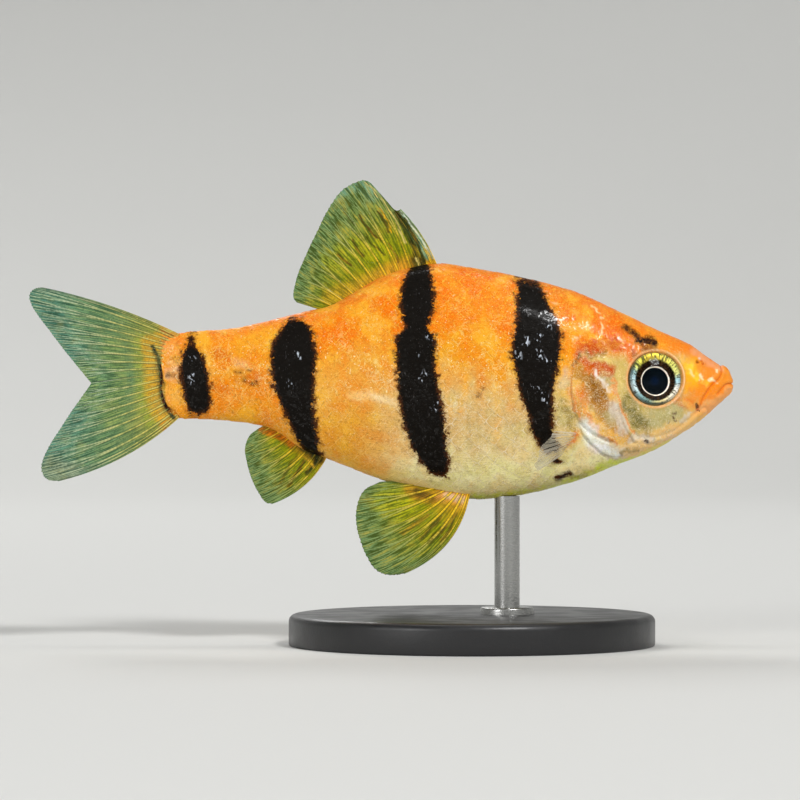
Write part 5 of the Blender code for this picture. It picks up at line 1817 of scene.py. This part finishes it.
class BARB_OT_stage(bpy.types.Operator):
    """Set the pale floor, the soft lights and the camera at the picture's viewing angle"""

    bl_idname = "barb.stage"
    bl_label = "Floor, lights and camera"

    def execute(self, context):
        sizes = context.scene.barb_stage
        corner = sizes.reach * 0.5
        profile = [(0.0, 0.0, 0.0), (sizes.reach - corner, 0.0, 0.0)]
        for i in range(1, 13):
            angle = math.pi / 2 * i / 12
            out, up = corner * math.sin(angle), corner * (1 - math.cos(angle))
            profile.append((sizes.reach - corner + out, 0.0, up))
        profile.append((sizes.reach, 0.0, sizes.reach * 0.75))
        floor = turned("stage_floor", profile, (0, 0, 0), (0, 0, 1), 96)
        material, _ = start_material("stage_paper", Roughness=0.85, Base_Color=tuple(sizes.floor))
        floor.data.materials.append(material)
        middle = (0.0014, 0.0, (AXIS_HEIGHT + CAMERA_Z) * MM)
        for name, spot, width, height, power, aim in (
            ("key", (0.26, -0.46, 0.46), 0.16, 0.12, sizes.key, middle),
            ("fill", (-0.42, -0.44, 0.20), 0.24, 0.18, sizes.fill, middle),
            ("back", (-0.18, 0.50, 0.46), 0.30, 0.24, sizes.key * 0.45, middle),
            ("backdrop", (0.0, 0.10, 0.62), 0.40, 0.30, sizes.backdrop, (0.0, 0.80, 0.10)),
        ):
            soft_light(name, spot, aim, width, height, power)
        world = bpy.data.worlds.new("soft_room")
        world.use_nodes = True
        world.node_tree.nodes["Background"].inputs[0].default_value = (0.85, 0.87, 0.9, 1.0)
        world.node_tree.nodes["Background"].inputs[1].default_value = 0.12
        context.scene.world = world
        context.scene.view_settings.view_transform = "Standard"
        camera = bpy.data.cameras.new("camera")
        camera.sensor_width = 36.0
        camera.lens = sizes.lens
        camera.clip_start = 0.01
        camera.clip_end = 10.0
        made = bpy.data.objects.new("camera", camera)
        distance = sizes.picture_width * sizes.lens / camera.sensor_width
        made.location = (middle[0], -distance, middle[2])
        made.rotation_euler = (math.pi / 2, 0, 0)
        context.scene.collection.objects.link(made)
        context.scene.camera = made
        return {"FINISHED"}


STEPS = (
    BARB_OT_skin, BARB_OT_scales, BARB_OT_eyes, BARB_OT_median_fins, BARB_OT_paired_fins, BARB_OT_stand,
    BARB_OT_stage,
)
SETTINGS = {
    "barb_body": BarbBodySettings, "barb_scales": BarbScaleSettings, "barb_fins": BarbFinSettings,
    "barb_eyes": BarbEyeSettings, "barb_stand": BarbStandSettings, "barb_stage": BarbStageSettings,
}


class BARB_PT_panel(bpy.types.Panel):
    """Sizes, colours and building steps of the barb"""

    bl_idname = "BARB_PT_panel"
    bl_label = "Five-banded barb"
    bl_space_type = "VIEW_3D"
    bl_region_type = "UI"
    bl_category = "Barb"

    def draw(self, context):
        for step in STEPS:
            self.layout.operator(step.bl_idname)
        for name, group in SETTINGS.items():
            box = self.layout.box()
            for setting in group.__annotations__:
                box.prop(getattr(context.scene, name), setting)


def register():
    for group in (*SETTINGS.values(), *STEPS, BARB_PT_panel):
        bpy.utils.register_class(group)
    for name, group in SETTINGS.items():
        setattr(bpy.types.Scene, name, PointerProperty(type=group))


def unregister():
    for name in SETTINGS:
        delattr(bpy.types.Scene, name)
    for group in (BARB_PT_panel, *reversed(STEPS), *reversed(SETTINGS.values())):
        bpy.utils.unregister_class(group)


def main():
    register()
    bpy.ops.barb.skin()
    bpy.ops.barb.scales()
    bpy.ops.barb.eyes()
    bpy.ops.barb.median_fins()
    bpy.ops.barb.paired_fins()
    bpy.ops.barb.stand()
    bpy.ops.barb.stage()


if __name__ == "__main__":
    main()
